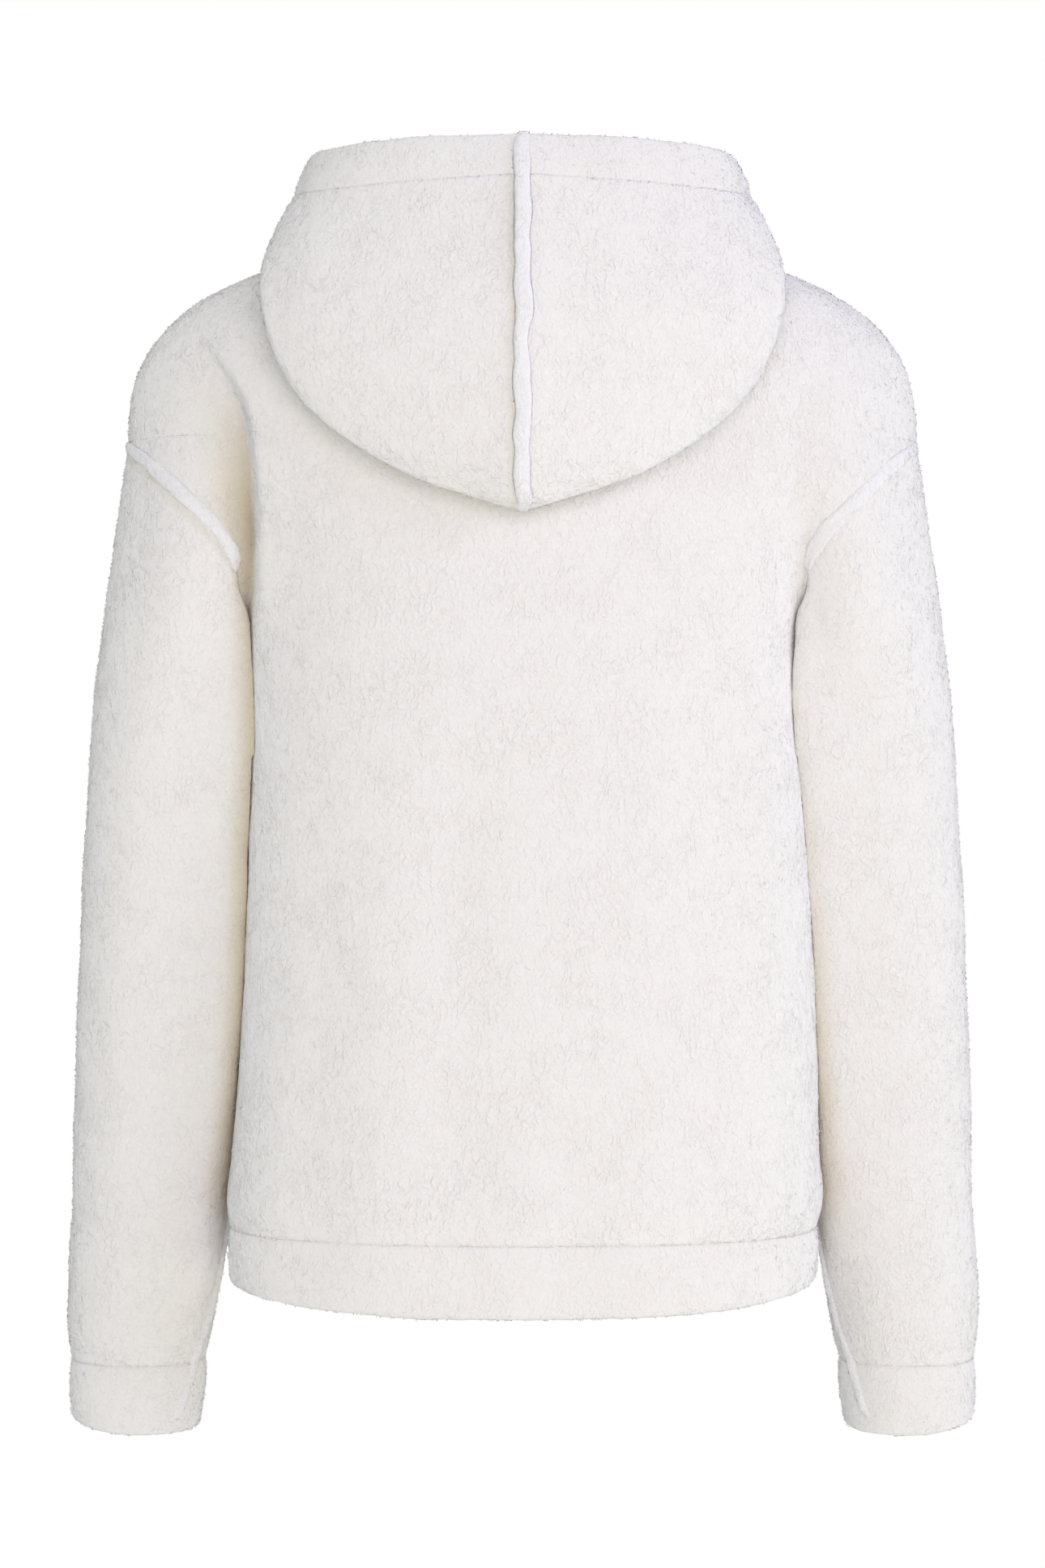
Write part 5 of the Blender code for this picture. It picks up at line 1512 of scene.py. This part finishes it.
def tuft_tree():
    sizes = ("Density", "Length", "Thickness", "Lock")
    others = (("Seed", "NodeSocketInt"), ("Finish", "NodeSocketMaterial"))
    tree, given, result = new_tree("pile_tufts", sizes, others)
    thick = maths(tree, "MULTIPLY", given["Density"], maths(tree, "POWER", named_share(tree, "pile"), 2.0))
    clear = maths(tree, "POWER", maths(tree, "SUBTRACT", 1.0, named_share(tree, "fold")), TUFT_CLEAR)
    thick = maths(tree, "MULTIPLY", thick, clear)
    spread = {"Mesh": given["Cloth"], "Density": thick, "Seed": given["Seed"]}
    spots = add(tree, "GeometryNodeDistributePointsOnFaces", inputs=spread)
    spots.use_legacy_normal = False
    place = add(tree, "GeometryNodeInputPosition").outputs[0]
    scale = maths(tree, "DIVIDE", 0.5, given["Lock"])
    way = add(tree, "ShaderNodeTexNoise", inputs={"Vector": place, "Scale": scale, "Detail": 1.0})
    ends = {"Min": -TUFT_STRAY, "Max": TUFT_STRAY, "Seed": given["Seed"]}
    stray = add(tree, "FunctionNodeRandomValue", inputs=ends)
    stray_value = [socket for socket in stray.outputs if socket.enabled][0]
    spin = maths(tree, "ADD", maths(tree, "MULTIPLY", way.outputs["Fac"], TUFT_SWIRL), stray_value)
    lean = add(tree, "FunctionNodeRandomValue", inputs={"Seed": given["Seed"]})
    lean_value = [socket for socket in lean.outputs if socket.enabled][0]
    lean_angle = steps_between(tree, lean_value, 0.0, 1.0, *TUFT_LEANS)
    turn = add(tree, "ShaderNodeCombineXYZ", inputs={"X": lean_angle, "Z": spin}).outputs[0]
    turn = add(tree, "FunctionNodeEulerToRotation", inputs={0: turn}).outputs[0]
    local = {"rotation_space": "LOCAL"}
    facts = {"Rotation": spots.outputs["Rotation"], "Rotate By": turn}
    turned = add(tree, "FunctionNodeRotateRotation", local, facts).outputs[0]
    wide, tall = given["Thickness"], given["Length"]
    spike = {"Vertices": TUFT_SIDES, "Radius Top": 0.0, "Radius Bottom": wide, "Depth": tall}
    tuft = add(tree, "GeometryNodeMeshCone", {"fill_type": "TRIANGLE_FAN"}, spike).outputs["Mesh"]
    size = steps_between(tree, lean_value, 0.0, 1.0, *TUFT_SCALES)
    skin = {"Geometry": spots.outputs["Points"], "Name": "skin", "Value": spots.outputs["Normal"]}
    kept = add(tree, "GeometryNodeStoreNamedAttribute", {"data_type": "FLOAT_VECTOR"}, skin).outputs[0]
    set_on(tree, kept, tuft, turned, size, given["Finish"], result["Result"])
    return tree


# %% Tufts on every piece
TUFTS = {"Density": 55000.0, "Length": 0.0022, "Thickness": 0.00032, "Lock": 0.006, "Finish": tips}
tufts = tuft_tree()
tuft_pieces = {}
for count, (name, piece) in enumerate(made_pieces.items()):
    pile = bpy.data.objects.new("pile_" + name, piece.data)
    bpy.context.scene.collection.objects.link(pile)
    grown(pile, tufts, {**TUFTS, "Seed": count})
    pile.visible_shadow = pile.visible_diffuse = False
    tuft_pieces[name] = pile
print("tufts:", sum(len(pile.data.polygons) for pile in tuft_pieces.values()) // (TUFT_SIDES + 1))

# %% [markdown]
# ## Stitches
#
# A twin-needle machine holds the turned hems down. Its thread sinks into the pile, so one sees
# only a shallow line, broken by locks that have sprung over it. A tree walks along each seam and
# sets one small lens-shaped stitch at every step.

# %% Stitch tree
STITCH_SIDES, STITCH_RINGS = 6, 5


def stitch_tree():
    others = (("Finish", "NodeSocketMaterial"),)
    tree, given, result = new_tree("sunk_stitches", ("Step", "Length", "Thickness"), others)
    line = add(tree, "GeometryNodeMeshToCurve", inputs={"Mesh": given["Cloth"]}).outputs[0]
    steps = {"Curve": line, "Length": given["Step"]}
    points = add(tree, "GeometryNodeResampleCurve", {"mode": "LENGTH"}, steps).outputs[0]
    points = add(tree, "GeometryNodeCurveToPoints", {"mode": "EVALUATED"}, {"Curve": points})
    ahead = {"Vector": points.outputs["Tangent"]}
    turned = add(tree, "FunctionNodeAlignRotationToVector", {"axis": "Z"}, ahead).outputs[0]
    ball = {"Segments": STITCH_SIDES, "Rings": STITCH_RINGS, "Radius": 0.5}
    lens = add(tree, "GeometryNodeMeshUVSphere", inputs=ball).outputs[0]
    wide, tall = given["Thickness"], given["Length"]
    size = add(tree, "ShaderNodeCombineXYZ", inputs={"X": wide, "Y": wide, "Z": tall}).outputs[0]
    set_on(tree, points.outputs["Points"], lens, turned, size, given["Finish"], result["Result"])
    return tree


# %% Stitches along every turned hem
STITCHES = {"Step": 0.0037, "Length": 0.0030, "Thickness": 0.0009, "Finish": thread}
STITCH_PROUD = -0.0009
stitching = stitch_tree()
stitch_pieces = {}
for name, (line, out, closed) in seam_lines.items():
    points = line + out * STITCH_PROUD
    edges = [(k, k + 1) for k in range(len(points) - 1)] + ([(len(points) - 1, 0)] if closed else [])
    mesh = bpy.data.meshes.new("stitches_" + name)
    mesh.from_pydata(points.tolist(), edges, [])
    piece = bpy.data.objects.new("stitches_" + name, mesh)
    bpy.context.scene.collection.objects.link(piece)
    grown(piece, stitching, STITCHES)
    stitch_pieces[name] = piece
stitch_faces = sum(len(piece.data.polygons) for piece in stitch_pieces.values())
print("stitches:", stitch_faces // (STITCH_SIDES * STITCH_RINGS))

# %% [markdown]
# ## What each piece stands for
#
# Each shell takes the place of the imported node with its name, and its tufts and stitches go with it.
# The cut sizes of the cloth were measured from the grids as the pieces were made. A tube is as wide as it
# is round.

# %% Pieces and their cuts
STITCH_ON = {"hem_band": "hem", "cuff_left": "cuff_left", "cuff_right": "cuff_right"}
STITCH_ON |= {"hood_hem_left": "hood_left", "hood_hem_right": "hood_right"}
SEAM_ON = {
    "armhole_seam_left": "sleeve_left",
    "armhole_seam_right": "sleeve_right",
    "sleeve_seam_left": "sleeve_left",
    "sleeve_seam_right": "sleeve_right",
    "hood_centre_seam": "hood_left",
}
for name, piece in made_pieces.items():
    going = [tuft_pieces[name]]
    if name in STITCH_ON:
        going.append(stitch_pieces[STITCH_ON[name]])
    for part in (piece, *going):
        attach(part, "root")
    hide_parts(name)
    if name in flat_sizes:
        seams = [seam for seam, on in SEAM_ON.items() if on == name]
        going += [made_pieces[seam] for seam in seams] + [tuft_pieces[seam] for seam in seams]

# %% [markdown]
# ## Sizes, and the end
#
# The box of what is shown is compared with the box of the imported model, and how far it stands
# proud of the solids on each side is printed, in millimetres. Pile may stand proud of the solids
# by a few millimetres and no more.

# %% Sizes
shown_low, shown_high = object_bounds()
proud = [1000 * (low - shown) for low, shown in zip(cad_low, shown_low)]
proud += [1000 * (shown - high) for high, shown in zip(cad_high, shown_high)]
print("proud of the model, in mm:", [round(value, 1) for value in proud])
faces = sum(len(piece.data.polygons) for piece in (*made_pieces.values(), *tuft_pieces.values()))
print("faces in all:", faces)
